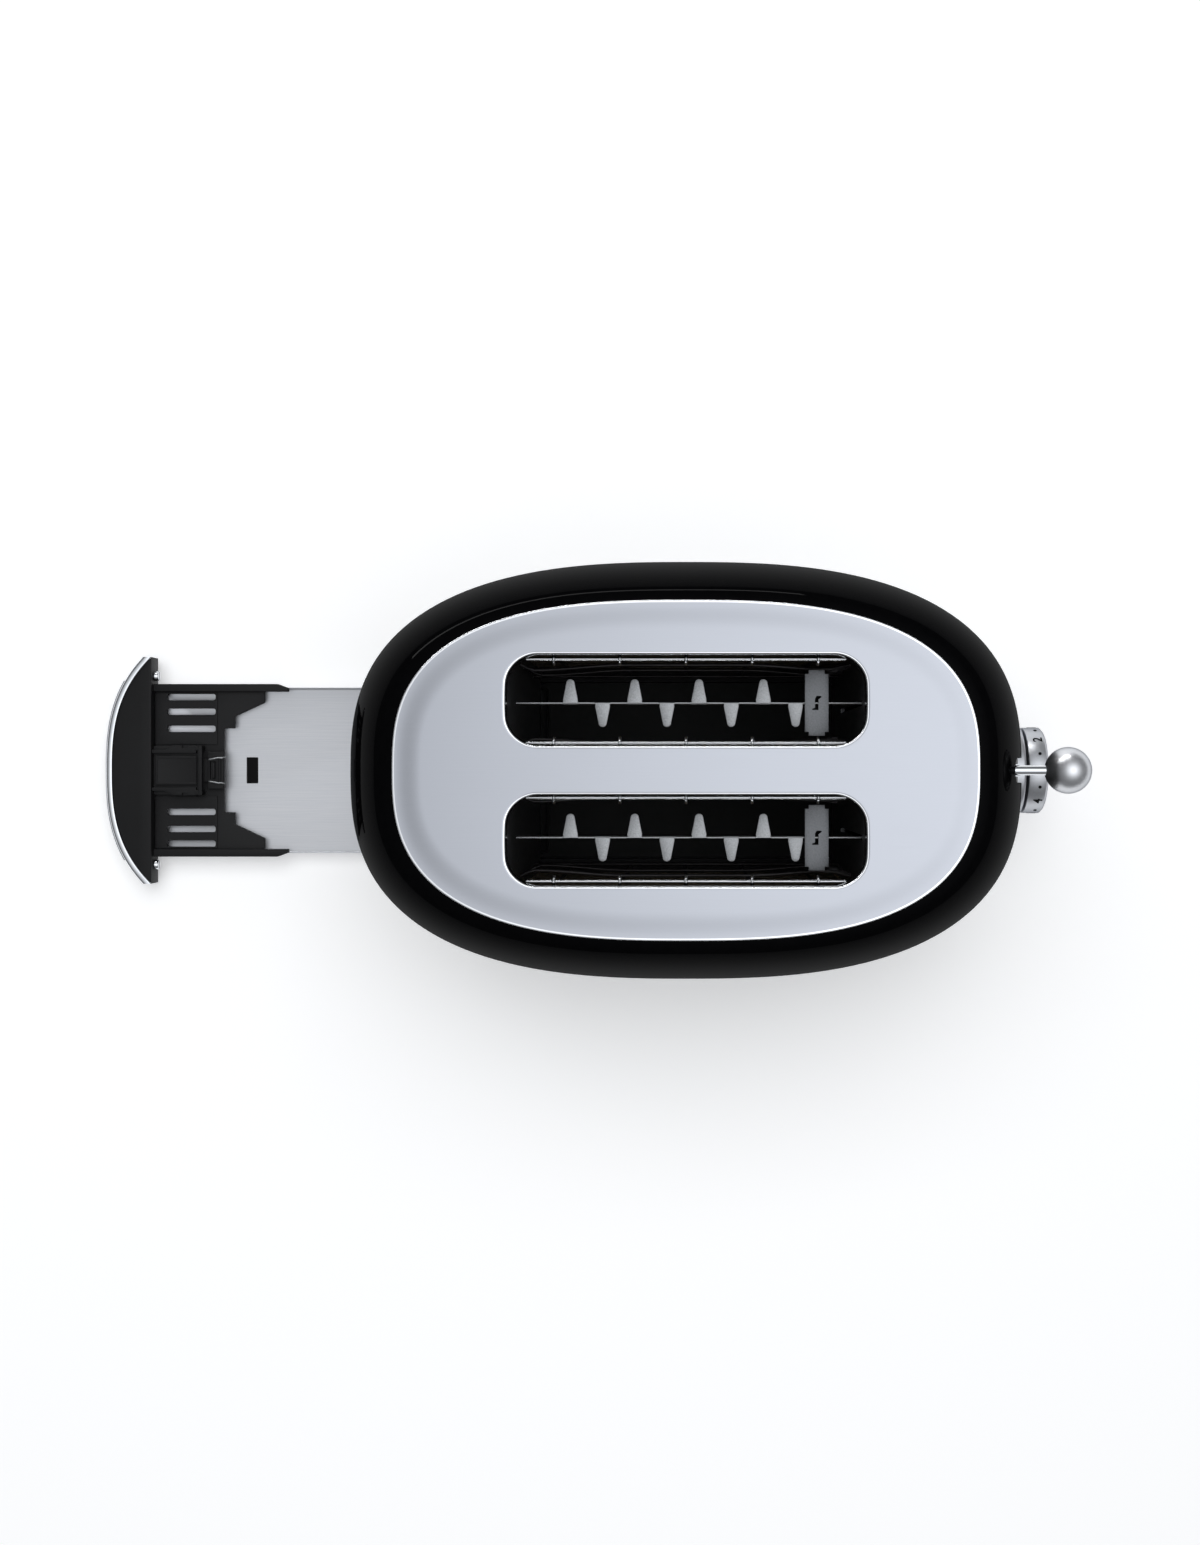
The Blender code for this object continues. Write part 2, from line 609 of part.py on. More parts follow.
def build_shell(mats):
    ledge_z = BODY_HEIGHT - PLATE_THICKNESS - FIT
    ledge_bottom = ledge_z - BODY_WALL
    opening_x = PLATE_HALF_LENGTH + FIT
    opening_y = PLATE_HALF_WIDTH + FIT
    rings = [body_ring(height, 0) for height in body_heights(BODY_HEIGHT)]
    rings.append(oval(opening_x, opening_y, PLATE_POWER, ledge_z))
    rings.append(oval(opening_x - PLATE_LEDGE, opening_y - PLATE_LEDGE, PLATE_POWER, ledge_z))
    rings.append(oval(opening_x - PLATE_LEDGE, opening_y - PLATE_LEDGE, PLATE_POWER, ledge_bottom))
    rings += [body_ring(height, -BODY_WALL) for height in reversed(body_heights(ledge_bottom))]
    bm = bmesh.new()
    add_rings(bm, rings, closed=True)
    shell = make_object("body_shell", bm, mats["enamel"], smooth=True)

    inside_x = BODY_HALF_LENGTH - BEZEL_DEPTH
    depth = BEZEL_DEPTH + CUT_OVERRUN
    bm = bmesh.new()
    slot_bottom = LEVER_Z - LEVER_TRAVEL - LEVER_SLOT_MARGIN_LOW
    slot_top = LEVER_Z + LEVER_SLOT_MARGIN_HIGH
    add_extrusion(bm, upright_slot(inside_x, LEVER_SLOT_WIDTH, slot_bottom, slot_top), Vector((depth, 0, 0)))
    cut(shell, "lever_slot_cut", bm)
    bm = bmesh.new()
    add_cylinder(bm, (inside_x, 0, DIAL_Z), depth, DIAL_HOLE_RADIUS, 20, "X")
    for y, z in button_places():
        add_cylinder(bm, (inside_x, y, z), depth, BUTTON_RADIUS + FIT, 20, "X")
    cut(shell, "dial_and_button_cut", bm)


def build_top_plate(mats):
    bottom = BODY_HEIGHT - PLATE_THICKNESS
    bm = bmesh.new()
    outlines = [oval(PLATE_HALF_LENGTH, PLATE_HALF_WIDTH, PLATE_POWER, z) for z in (bottom, BODY_HEIGHT)]
    add_rings(bm, outlines)
    plate = make_object("top_plate", bm, mats["satin"])
    lips = bmesh.new()
    openings = bmesh.new()
    for side in (-1, 1):
        lip_bottom = bottom - SLOT_LIP_DEPTH
        grown = 2 * SLOT_LIP_WALL
        collar = (SLOT_LENGTH + grown, SLOT_WIDTH + grown, SLOT_CORNER + SLOT_LIP_WALL)
        lip_height = SLOT_LIP_DEPTH + PLATE_THICKNESS / 2
        add_extrusion(lips, rounded_slot(0, side * SLOT_Y, *collar, lip_bottom), Vector((0, 0, lip_height)))
        hole_bottom = lip_bottom - CUT_OVERRUN
        hole_height = SLOT_LIP_DEPTH + PLATE_THICKNESS + 2 * CUT_OVERRUN
        outline = rounded_slot(0, side * SLOT_Y, SLOT_LENGTH, SLOT_WIDTH, SLOT_CORNER, hole_bottom)
        add_extrusion(openings, outline, Vector((0, 0, hole_height)))
    join(plate, "slot_lips", lips)
    cut(plate, "slot_openings", openings)


def build_base_band(mats):
    bm = bmesh.new()
    inner_x = BAND_HALF_LENGTH - BAND_WALL
    inner_y = BAND_HALF_WIDTH - BAND_WALL
    rings = [
        oval(BAND_HALF_LENGTH, BAND_HALF_WIDTH, BODY_POWER, BAND_BOTTOM),
        oval(BAND_HALF_LENGTH, BAND_HALF_WIDTH, BODY_POWER, BAND_HEIGHT),
        oval(inner_x, inner_y, BODY_POWER, BAND_HEIGHT),
        oval(inner_x, inner_y, BODY_POWER, BAND_BOTTOM),
    ]
    add_rings(bm, rings, closed=True)
    band = make_object("base_band", bm, mats["chrome"], smooth=True)
    bm = bmesh.new()
    gap_y = TRAY_FRONT_HALF_WIDTH + FIT
    low = (-BODY_HALF_LENGTH, -gap_y, BAND_BOTTOM - CUT_OVERRUN)
    add_box(bm, low, (0, gap_y, BAND_HEIGHT + CUT_OVERRUN))
    cut(band, "tray_gap", bm)


def build_base_pan(mats):
    bm = bmesh.new()
    inner_x = PAN_HALF_LENGTH - PAN_WALL
    inner_y = PAN_HALF_WIDTH - PAN_WALL
    rings = [
        oval(PAN_HALF_LENGTH, PAN_HALF_WIDTH, BODY_POWER, 0),
        oval(PAN_HALF_LENGTH, PAN_HALF_WIDTH, BODY_POWER, PAN_TOP),
        oval(inner_x, inner_y, BODY_POWER, PAN_TOP),
        oval(inner_x, inner_y, BODY_POWER, FLOOR_THICKNESS),
    ]
    add_rings(bm, rings)
    pan = make_object("base_pan", bm, mats["plastic"])

    ribs = bmesh.new()
    root_z = FLOOR_THICKNESS - WELD
    wall_out = CHANNEL_HALF_WIDTH + CHANNEL_WALL
    for side in (-1, 1):
        edges = sorted((side * CHANNEL_HALF_WIDTH, side * wall_out))
        high = (CHANNEL_END_X - CHANNEL_WALL, edges[1], CHANNEL_HEIGHT)
        add_box(ribs, (HANDLE_POCKET_X, edges[0], root_z), high)
        post_y = side * BOARD_POST_Y
        half = BOARD_POST_SIZE / 2
        post_x = BOARD_X + BOARD_THICKNESS / 2
        low = (post_x - half, post_y - half, root_z)
        add_box(ribs, low, (post_x + half, post_y + half, BOARD_BOTTOM - FIT))
    join(pan, "pan_ribs", ribs)
    stop = bmesh.new()
    low = (CHANNEL_END_X - 2 * CHANNEL_WALL + WELD, -CHANNEL_HALF_WIDTH - WELD, root_z - WELD)
    add_box(stop, low, (CHANNEL_END_X - CHANNEL_WALL - WELD, CHANNEL_HALF_WIDTH + WELD, CHANNEL_STOP_HEIGHT))
    add_cylinder(stop, (ROD_X, 0, root_z), ROD_BOSS_HEIGHT + WELD, ROD_BOSS_RADIUS, 20, "Z")
    join(pan, "tray_stop_and_boss", stop)

    holes = bmesh.new()
    low = (-BODY_HALF_LENGTH, -TRAY_FRONT_HALF_WIDTH - FIT, root_z)
    add_box(holes, low, (HANDLE_POCKET_X, TRAY_FRONT_HALF_WIDTH + FIT, PAN_TOP + CUT_OVERRUN))
    through = FLOOR_THICKNESS + 2 * CUT_OVERRUN
    add_cylinder(holes, (GLAND_X, GLAND_Y, -CUT_OVERRUN), through, GLAND_NECK_RADIUS + FIT, 20, "Z")
    for side in (-1, 1):
        start = (0, side * BASE_SCREW_Y, -CUT_OVERRUN)
        add_cylinder(holes, start, through, SCREW_SHANK_RADIUS + FIT, 12, "Z")
    add_cylinder(holes, (ROD_X, 0, root_z), ROD_BOSS_HEIGHT + CUT_OVERRUN, ROD_RADIUS + FIT, 20, "Z")
    gate_ring = [
        (-CUT_OVERRUN, GATE_RING_RADIUS),
        (-CUT_OVERRUN, GATE_RING_RADIUS + GATE_RING_WIDTH),
        (GATE_RING_DEPTH, GATE_RING_RADIUS + GATE_RING_WIDTH),
        (GATE_RING_DEPTH, GATE_RING_RADIUS),
    ]
    add_turned(holes, gate_ring, (0, 0, 0), 24, "Z", closed=True)
    cut(pan, "pan_holes", holes)


def build_feet_and_base_screws(mats):
    number = 1
    for side_x in (-1, 1):
        for side_y in (-1, 1):
            bm = bmesh.new()
            profile = [
                (-FOOT_HEIGHT, 0),
                (-FOOT_HEIGHT, FOOT_RADIUS - FOOT_TAPER),
                (-FIT, FOOT_RADIUS),
                (-FIT, 0),
            ]
            add_turned(bm, profile, (side_x * FOOT_X, side_y * FOOT_Y, 0), 20, "Z")
            make_object(f"foot_{number}", bm, mats["rubber"], smooth=True)
            number += 1
    for number, side in enumerate((-1, 1), start=1):
        bm = bmesh.new()
        head_bottom = -FIT - SCREW_HEAD_HEIGHT
        profile = [
            (head_bottom, 0),
            (head_bottom, SCREW_HEAD_RADIUS),
            (-FIT, SCREW_HEAD_RADIUS),
            (-FIT, SCREW_SHANK_RADIUS),
            (BASE_SCREW_LENGTH, SCREW_SHANK_RADIUS),
            (BASE_SCREW_LENGTH, 0),
        ]
        add_turned(bm, profile, (0, side * BASE_SCREW_Y, 0), 12, "Z")
        make_object(f"base_screw_{number}", bm, mats["sheet"], smooth=True)


def grid_places():
    """Name, side of the middle, and Y of each guide grid's bars."""
    outer = SLOT_Y + SLOT_WIDTH / 2 - GRID_EDGE_GAP
    inner = SLOT_Y - SLOT_WIDTH / 2 + GRID_EDGE_GAP
    return [
        ("guide_grid_left_outer", -outer, -1),
        ("guide_grid_left_inner", -inner, 1),
        ("guide_grid_right_inner", inner, -1),
        ("guide_grid_right_outer", outer, 1),
    ]


def build_bulkheads(mats):
    bottom = STEP_ON_FLOOR
    for name, side in (("rear_bulkhead", -1), ("front_bulkhead", 1)):
        edges = sorted((side * BULKHEAD_X, side * BULKHEAD_OUTER_X))
        bm = bmesh.new()
        add_box(bm, (edges[0], -BULKHEAD_HALF_WIDTH, bottom), (edges[1], BULKHEAD_HALF_WIDTH, BULKHEAD_TOP))
        bulkhead = make_object(name, bm, mats["dark_sheet"])
        if side > 0:
            arm = bmesh.new()
            arm_end = ROD_X + ROD_BOSS_RADIUS
            low = (edges[1] - WELD, -ROD_BOSS_RADIUS, ROD_ARM_BOTTOM)
            add_box(arm, low, (arm_end, ROD_BOSS_RADIUS, ROD_ARM_BOTTOM + ROD_ARM_THICKNESS))
            join(bulkhead, "rod_arm", arm)
        holes = bmesh.new()
        gate_y = CHANNEL_HALF_WIDTH + CHANNEL_WALL + FIT
        low = (edges[0] - CUT_OVERRUN, -gate_y, bottom - CUT_OVERRUN)
        add_box(holes, low, (edges[1] + CUT_OVERRUN, gate_y, CHANNEL_HEIGHT + FIT))
        through = BULKHEAD_THICKNESS + 2 * CUT_OVERRUN
        for _, y, _ in grid_places():
            start = (edges[0] - CUT_OVERRUN, y, GRID_PIVOT_Z)
            add_cylinder(holes, start, through, GRID_WIRE_RADIUS + FIT, 10, "X")
        if side > 0:
            slot_half = RACK_THICKNESS / 2 + 2 * FIT
            slot_low = RACK_TOP - RACK_HEIGHT - LEVER_TRAVEL - 2 * SLOT_LIP_WALL
            for slot_side in (-1, 1):
                low = (edges[0] - CUT_OVERRUN, slot_side * SLOT_Y - slot_half, slot_low)
                high = (edges[1] + CUT_OVERRUN, slot_side * SLOT_Y + slot_half, RACK_TOP + 2 * SLOT_LIP_WALL)
                add_box(holes, low, high)
            start = (ROD_X, 0, ROD_ARM_BOTTOM - CUT_OVERRUN)
            depth = ROD_ARM_THICKNESS + 2 * CUT_OVERRUN
            add_cylinder(holes, start, depth, ROD_RADIUS + FIT, 20, "Z")
        cut(bulkhead, f"{name}_holes", holes)


def card_outline(x_limit, y):
    """A heater card whose ends are notched for the ribbon's turns."""
    count = int((CARD_TOP - CARD_BOTTOM) / CARD_NOTCH_PITCH)
    points = []
    for side in (1, -1):
        steps = range(count) if side > 0 else reversed(range(count))
        for step in steps:
            z = CARD_BOTTOM + step * CARD_NOTCH_PITCH
            tooth = [(x_limit, z), (x_limit, z + CARD_NOTCH_PITCH / 2)]
            notch_x = x_limit - CARD_NOTCH_DEPTH
            tooth += [(notch_x, z + CARD_NOTCH_PITCH / 2), (notch_x, z + CARD_NOTCH_PITCH)]
            if side < 0:
                tooth.reverse()
            points += [Vector((side * x, y, height)) for x, height in tooth]
    return points


def build_heaters(mats):
    x_limit = BULKHEAD_X - FIT
    for name, y in (("side_reflector_left", -REFLECTOR_Y), ("side_reflector_right", REFLECTOR_Y)):
        half = REFLECTOR_THICKNESS / 2
        bm = bmesh.new()
        add_box(bm, (-x_limit, y - half, REFLECTOR_BOTTOM), (x_limit, y + half, BULKHEAD_TOP))
        make_object(name, bm, mats["sheet"])
    cards = (
        ("heater_card_left_outer", -CARD_OUTER_Y),
        ("heater_card_left_inner", -CARD_INNER_Y),
        ("heater_card_right_inner", CARD_INNER_Y),
        ("heater_card_right_outer", CARD_OUTER_Y),
    )
    for name, y in cards:
        bm = bmesh.new()
        add_extrusion(bm, card_outline(x_limit, y - CARD_THICKNESS / 2), Vector((0, CARD_THICKNESS, 0)))
        make_object(name, bm, mats["mica"])


def build_guide_grids(mats):
    pivot_half = BULKHEAD_OUTER_X - FIT
    for name, y, outward in grid_places():
        joint = make_joint(f"{name}_axis", Vector((0, y, GRID_PIVOT_Z)))
        bm = bmesh.new()
        start = (-pivot_half, y, GRID_PIVOT_Z)
        add_cylinder(bm, start, 2 * pivot_half, GRID_WIRE_RADIUS, WIRE_SIDES, "X")
        for share in GRID_BAR_SHARES:
            start = (-GRID_BAR_HALF_LENGTH, y, GRID_PIVOT_Z + share * (GRID_TOP_Z - GRID_PIVOT_Z))
            add_cylinder(bm, start, 2 * GRID_BAR_HALF_LENGTH, GRID_WIRE_RADIUS, WIRE_SIDES, "X")
        grid = make_object(name, bm, mats["chrome"], joint, smooth=True)
        stays = bmesh.new()
        height = GRID_TOP_Z - GRID_PIVOT_Z + 2 * GRID_WIRE_RADIUS
        for index in range(GRID_STAY_COUNT):
            x = (index - (GRID_STAY_COUNT - 1) / 2) * GRID_STAY_PITCH
            start = (x, y + outward * GRID_STAY_OFFSET, GRID_PIVOT_Z - GRID_WIRE_RADIUS)
            add_cylinder(stays, start, height, GRID_STAY_RADIUS, WIRE_SIDES, "Z")
        join(grid, f"{name}_stays", stays, joint)


def build_racks(mats, joint):
    for name, side in (("rack_left", -1), ("rack_right", 1)):
        y = side * SLOT_Y
        half = RACK_THICKNESS / 2
        bm = bmesh.new()
        high = (CARRIAGE_X - FIT, y + half, RACK_TOP)
        add_box(bm, (RACK_BACK_X, y - half, RACK_TOP - RACK_HEIGHT), high)
        rack = make_object(name, bm, mats["sheet"], joint)
        teeth = bmesh.new()
        tooth_z = RACK_TOP - WELD - TOOTH_THICKNESS
        for direction, start_x in zip((1, -1), TOOTH_STARTS):
            for index in range(TOOTH_COUNT):
                x = start_x + index * TOOTH_PITCH
                tip_y = y + direction * TOOTH_LENGTH
                round_y = y + direction * (TOOTH_LENGTH - TOOTH_TIP / 3)
                root_y = y + direction * half / 2
                outline = [
                    Vector((x - TOOTH_ROOT / 2, root_y, tooth_z)),
                    Vector((x + TOOTH_ROOT / 2, root_y, tooth_z)),
                    Vector((x + TOOTH_TIP / 2, round_y, tooth_z)),
                    Vector((x + TOOTH_TIP / 4, tip_y, tooth_z)),
                    Vector((x - TOOTH_TIP / 4, tip_y, tooth_z)),
                    Vector((x - TOOTH_TIP / 2, round_y, tooth_z)),
                ]
                add_extrusion(teeth, outline, Vector((0, 0, TOOTH_THICKNESS)))
        join(rack, f"{name}_teeth", teeth, joint)


def build_rack_stops(mats, joint):
    low_x = RACK_STOP_X
    high_x = RACK_STOP_X + RACK_STOP_LENGTH
    half = RACK_STOP_WIDTH / 2
    notch = RACK_STOP_NOTCH
    z = RACK_TOP + FIT
    for name, side in (("rack_stop_left", -1), ("rack_stop_right", 1)):
        y = side * SLOT_Y
        corners = [
            (low_x + notch, y - half),
            (high_x - notch, y - half),
            (high_x - notch, y - half + notch),
            (high_x, y - half + notch),
            (high_x, y + half - notch),
            (high_x - notch, y + half - notch),
            (high_x - notch, y + half),
            (low_x + notch, y + half),
            (low_x + notch, y + half - notch),
            (low_x, y + half - notch),
            (low_x, y - half + notch),
            (low_x + notch, y - half + notch),
        ]
        bm = bmesh.new()
        outline = [Vector((x, place, z)) for x, place in corners]
        add_extrusion(bm, outline, Vector((0, 0, RACK_STOP_THICKNESS)))
        stop = make_object(name, bm, mats["sheet"], joint)
        hole = bmesh.new()
        middle = (low_x + high_x) / 2
        low = (middle - notch / 2, y - notch, z - CUT_OVERRUN)
        add_box(hole, low, (middle + notch / 2, y + notch, z + RACK_STOP_THICKNESS + CUT_OVERRUN))
        cut(stop, f"{name}_hole", hole, joint)


def build_carriage(mats, joint):
    bm = bmesh.new()
    plate_x = CARRIAGE_X + CARRIAGE_THICKNESS
    low = (CARRIAGE_X, -CARRIAGE_HALF_WIDTH, CARRIAGE_TOP - CARRIAGE_PLATE_HEIGHT)
    add_box(bm, low, (plate_x, CARRIAGE_HALF_WIDTH, CARRIAGE_TOP))
    carriage = make_object("carriage_plate", bm, mats["dark_sheet"], joint)
    block = bmesh.new()
    low = (plate_x - WELD, -SLEEVE_HALF_WIDTH, CARRIAGE_BOTTOM)
    add_box(block, low, (SLEEVE_END_X, SLEEVE_HALF_WIDTH, CARRIAGE_TOP - WELD))
    join(carriage, "carriage_sleeve", block, joint)
    arm = bmesh.new()
    low = (plate_x - WELD / 2, -ARM_REACH, CARRIAGE_BOTTOM + WELD)
    add_box(arm, low, (ARM_END_X, ARM_REACH, CARRIAGE_BOTTOM + WELD + ARM_THICKNESS))
    join(carriage, "carriage_arms", arm, joint)
    bore = bmesh.new()
    start = (ROD_X, 0, CARRIAGE_BOTTOM - CUT_OVERRUN)
    add_cylinder(bore, start, SLEEVE_LENGTH + 2 * CUT_OVERRUN, ROD_RADIUS + FIT, 20, "Z")
    cut(carriage, "carriage_bore", bore, joint)

    bm = bmesh.new()
    catch_z = CARRIAGE_BOTTOM + WELD - FIT
    low = (ROD_X - CATCH_HALF_SIZE, MAGNET_Y - CATCH_HALF_SIZE, catch_z - CATCH_THICKNESS)
    add_box(bm, low, (ROD_X + CATCH_HALF_SIZE, MAGNET_Y + CATCH_HALF_SIZE, catch_z))
    make_object("catch_plate", bm, mats["sheet"], joint)


def build_lever(mats, joint):
    seat_x = BALL_X - BALL_RADIUS + BALL_SEAT_DEPTH
    bm = bmesh.new()
    start = (SLEEVE_END_X + FIT, 0, LEVER_Z)
    add_cylinder(bm, start, seat_x - FIT - start[0], STEM_RADIUS, 16, "X")
    make_object("lever_stem", bm, mats["chrome"], joint, smooth=True)

    bore = STEM_RADIUS + FIT
    mouth = math.asin(bore / BALL_RADIUS)
    steps = 11
    profile = [(seat_x - BALL_X, 0), (seat_x - BALL_X, bore)]
    for step in range(steps):
        angle = mouth + (math.pi - mouth) * step / steps
        profile.append((-BALL_RADIUS * math.cos(angle), BALL_RADIUS * math.sin(angle)))
    profile.append((BALL_RADIUS, 0))
    bm = bmesh.new()
    add_turned(bm, profile, (BALL_X, 0, LEVER_Z), 28, "X")
    make_object("lever_ball", bm, mats["chrome"], joint, smooth=True)


def build_lift(mats):
    bm = bmesh.new()
    rod_bottom = FLOOR_THICKNESS - WELD + FIT
    add_cylinder(bm, (ROD_X, 0, rod_bottom), ROD_TOP - rod_bottom, ROD_RADIUS, 16, "Z")
    make_object("guide_rod", bm, mats["chrome"], smooth=True)

    bottom = FLOOR_THICKNESS + ROD_BOSS_HEIGHT + FIT + SPRING_WIRE_RADIUS
    top = CARRIAGE_BOTTOM - FIT - SPRING_WIRE_RADIUS
    count = SPRING_TURNS * SPRING_STEPS
    points = []
    for step in range(count + 1):
        angle = 2 * math.pi * step / SPRING_STEPS
        height = bottom + (top - bottom) * step / count
        place = (ROD_X + SPRING_RADIUS * math.cos(angle), SPRING_RADIUS * math.sin(angle), height)
        points.append(Vector(place))
    bm = bmesh.new()
    add_wire(bm, points, SPRING_WIRE_RADIUS, SPRING_SIDES)
    make_object("lift_spring", bm, mats["sheet"], smooth=True)


def build_magnet_and_contacts(mats):
    half = MAGNET_BRACKET_HALF
    wall = MAGNET_BRACKET_WALL
    bottom = STEP_ON_FLOOR
    x = ROD_X - half
    outline = [
        Vector((x, MAGNET_Y - half, bottom)),
        Vector((x, MAGNET_Y - half + wall, bottom)),
        Vector((x, MAGNET_Y - half + wall, MAGNET_SHELF - wall)),
        Vector((x, MAGNET_Y + half - wall, MAGNET_SHELF - wall)),
        Vector((x, MAGNET_Y + half - wall, bottom)),
        Vector((x, MAGNET_Y + half, bottom)),
        Vector((x, MAGNET_Y + half, MAGNET_SHELF)),
        Vector((x, MAGNET_Y - half, MAGNET_SHELF)),
    ]
    bm = bmesh.new()
    add_extrusion(bm, outline, Vector((2 * half, 0, 0)))
    make_object("magnet_bracket", bm, mats["sheet"])

    catch_down = CARRIAGE_BOTTOM + WELD - FIT - CATCH_THICKNESS - LEVER_TRAVEL
    core_top = catch_down - FIT
    coil_bottom = MAGNET_SHELF + FIT
    profile = [
        (coil_bottom, 0),
        (coil_bottom, COIL_RADIUS),
        (core_top - CORE_HEIGHT, COIL_RADIUS),
        (core_top - CORE_HEIGHT, CORE_RADIUS),
        (core_top, CORE_RADIUS),
        (core_top, 0),
    ]
    bm = bmesh.new()
    add_turned(bm, profile, (ROD_X, MAGNET_Y, 0), 20, "Z")
    make_object("magnet_coil", bm, mats["copper"], smooth=True)

    bm = bmesh.new()
    low = (ROD_X - CONTACT_HALF_LENGTH, CONTACT_Y - CONTACT_HALF_WIDTH, bottom)
    high = (ROD_X + CONTACT_HALF_LENGTH, CONTACT_Y + CONTACT_HALF_WIDTH, CONTACT_HEIGHT)
    add_box(bm, low, high)
    make_object("contact_block", bm, mats["ceramic"])

    arm_down = CARRIAGE_BOTTOM + WELD - LEVER_TRAVEL
    leaf_z = CONTACT_HEIGHT + FIT
    y = CONTACT_Y - CONTACT_HALF_WIDTH / 2
    low_x = ROD_X - CONTACT_HALF_LENGTH
    high_x = ROD_X + CONTACT_HALF_LENGTH
    tip_z = arm_down - FIT
    outline = [
        Vector((low_x, y, leaf_z)),
        Vector((high_x, y, leaf_z)),
        Vector((high_x, y, leaf_z + LEAF_THICKNESS)),
        Vector((low_x + LEAF_THICKNESS, y, leaf_z + LEAF_THICKNESS)),
        Vector((high_x - LEAF_THICKNESS, y, tip_z)),
        Vector((high_x - 2 * LEAF_THICKNESS, y, tip_z)),
        Vector((low_x, y, leaf_z + 2 * LEAF_THICKNESS)),
    ]
    bm = bmesh.new()
    add_extrusion(bm, outline, Vector((0, CONTACT_HALF_WIDTH, 0)))
    make_object("contact_leaf", bm, mats["copper"])


def build_slot_guide(mats):
    bm = bmesh.new()
    half = LEVER_SLOT_WIDTH / 2 + GUIDE_BORDER
    bottom = LEVER_Z - LEVER_TRAVEL - LEVER_SLOT_MARGIN_LOW - GUIDE_BORDER
    top = LEVER_Z + LEVER_SLOT_MARGIN_HIGH + GUIDE_BORDER
    low_x = PLATE_HALF_LENGTH
    add_box(bm, (low_x, -half, bottom), (BODY_HALF_LENGTH, half, top))
    guide = make_object("lever_slot_guide", bm, mats["plastic"])
    outside = bmesh.new()
    add_body_envelope(outside, -BODY_WALL - FIT, top + GUIDE_BORDER)
    combine(guide, "guide_outer_face", outside, "INTERSECT")
    inside = bmesh.new()
    add_body_envelope(inside, -BODY_WALL - FIT - GUIDE_WALL, top + GUIDE_BORDER)
    cut(guide, "guide_inner_face", inside)
    bm = bmesh.new()
    reach = GUIDE_SLOT_WIDTH / 2
    slot_low = LEVER_Z - LEVER_TRAVEL - reach
    slot = upright_slot(low_x - CUT_OVERRUN, GUIDE_SLOT_WIDTH, slot_low, LEVER_Z + reach)
    add_extrusion(bm, slot, Vector((BODY_HALF_LENGTH - low_x + 2 * CUT_OVERRUN, 0, 0)))
    cut(guide, "guide_slot", bm)


def build_dial(mats, joint):
    bm = bmesh.new()
    start = (BEZEL_FACE_X - BEZEL_DEPTH, 0, DIAL_Z)
    add_cylinder(bm, start, BEZEL_DEPTH, BEZEL_RADIUS, 40, "X")
    bezel = make_object("knob_bezel", bm, mats["chrome"], smooth=True)
    envelope = bmesh.new()
    add_body_envelope(envelope, FIT, BODY_HEIGHT)
    cut(bezel, "bezel_back", envelope)
    bore = bmesh.new()
    start = (start[0] - CUT_OVERRUN, 0, DIAL_Z)
    add_cylinder(bore, start, BEZEL_DEPTH + 2 * CUT_OVERRUN, BEZEL_BORE_RADIUS, 20, "X")
    cut(bezel, "bezel_bore", bore)

    bore_radius = SHAFT_RADIUS + FIT
    dish_x = KNOB_FRONT_X - KNOB_DISH
    profile = [
        (KNOB_BACK_X + KNOB_BORE_DEPTH, 0),
        (KNOB_BACK_X + KNOB_BORE_DEPTH, bore_radius),
        (KNOB_BACK_X, bore_radius),
        (KNOB_BACK_X, KNOB_RADIUS),
        (KNOB_FRONT_X - KNOB_CHAMFER, KNOB_RADIUS),
        (KNOB_FRONT_X, KNOB_RADIUS - KNOB_CHAMFER),
        (KNOB_FRONT_X, KNOB_RADIUS - KNOB_RIM),
        (dish_x, KNOB_RADIUS - KNOB_RIM - KNOB_DISH),
        (dish_x, 0),
    ]
    bm = bmesh.new()
    add_turned(bm, profile, (0, 0, DIAL_Z), 40, "X")
    knob = make_object("browning_knob", bm, mats["chrome"], joint, smooth=True)
    bar = bmesh.new()
    bar_half = KNOB_RADIUS - KNOB_RIM - KNOB_DISH / 2
    low = (dish_x - KNOB_DISH, -KNOB_BAR_WIDTH / 2, DIAL_Z)
    add_box(bar, low, (KNOB_FRONT_X - WELD, KNOB_BAR_WIDTH / 2, DIAL_Z + bar_half))
    join(knob, "knob_pointer", bar, joint)

    bm = bmesh.new()
    pot_front = BOARD_X + BOARD_THICKNESS + FIT + POT_DEPTH
    shaft_start = pot_front + FIT
    shaft_length = KNOB_BACK_X + KNOB_BORE_DEPTH - FIT - shaft_start
    add_cylinder(bm, (shaft_start, 0, DIAL_Z), shaft_length, SHAFT_RADIUS, 16, "X")
    make_object("knob_shaft", bm, mats["sheet"], joint, smooth=True)


def button_places():
    return [(side * BUTTON_Y, z) for side in (-1, 1) for z in (BUTTON_LOW_Z, BUTTON_HIGH_Z)]


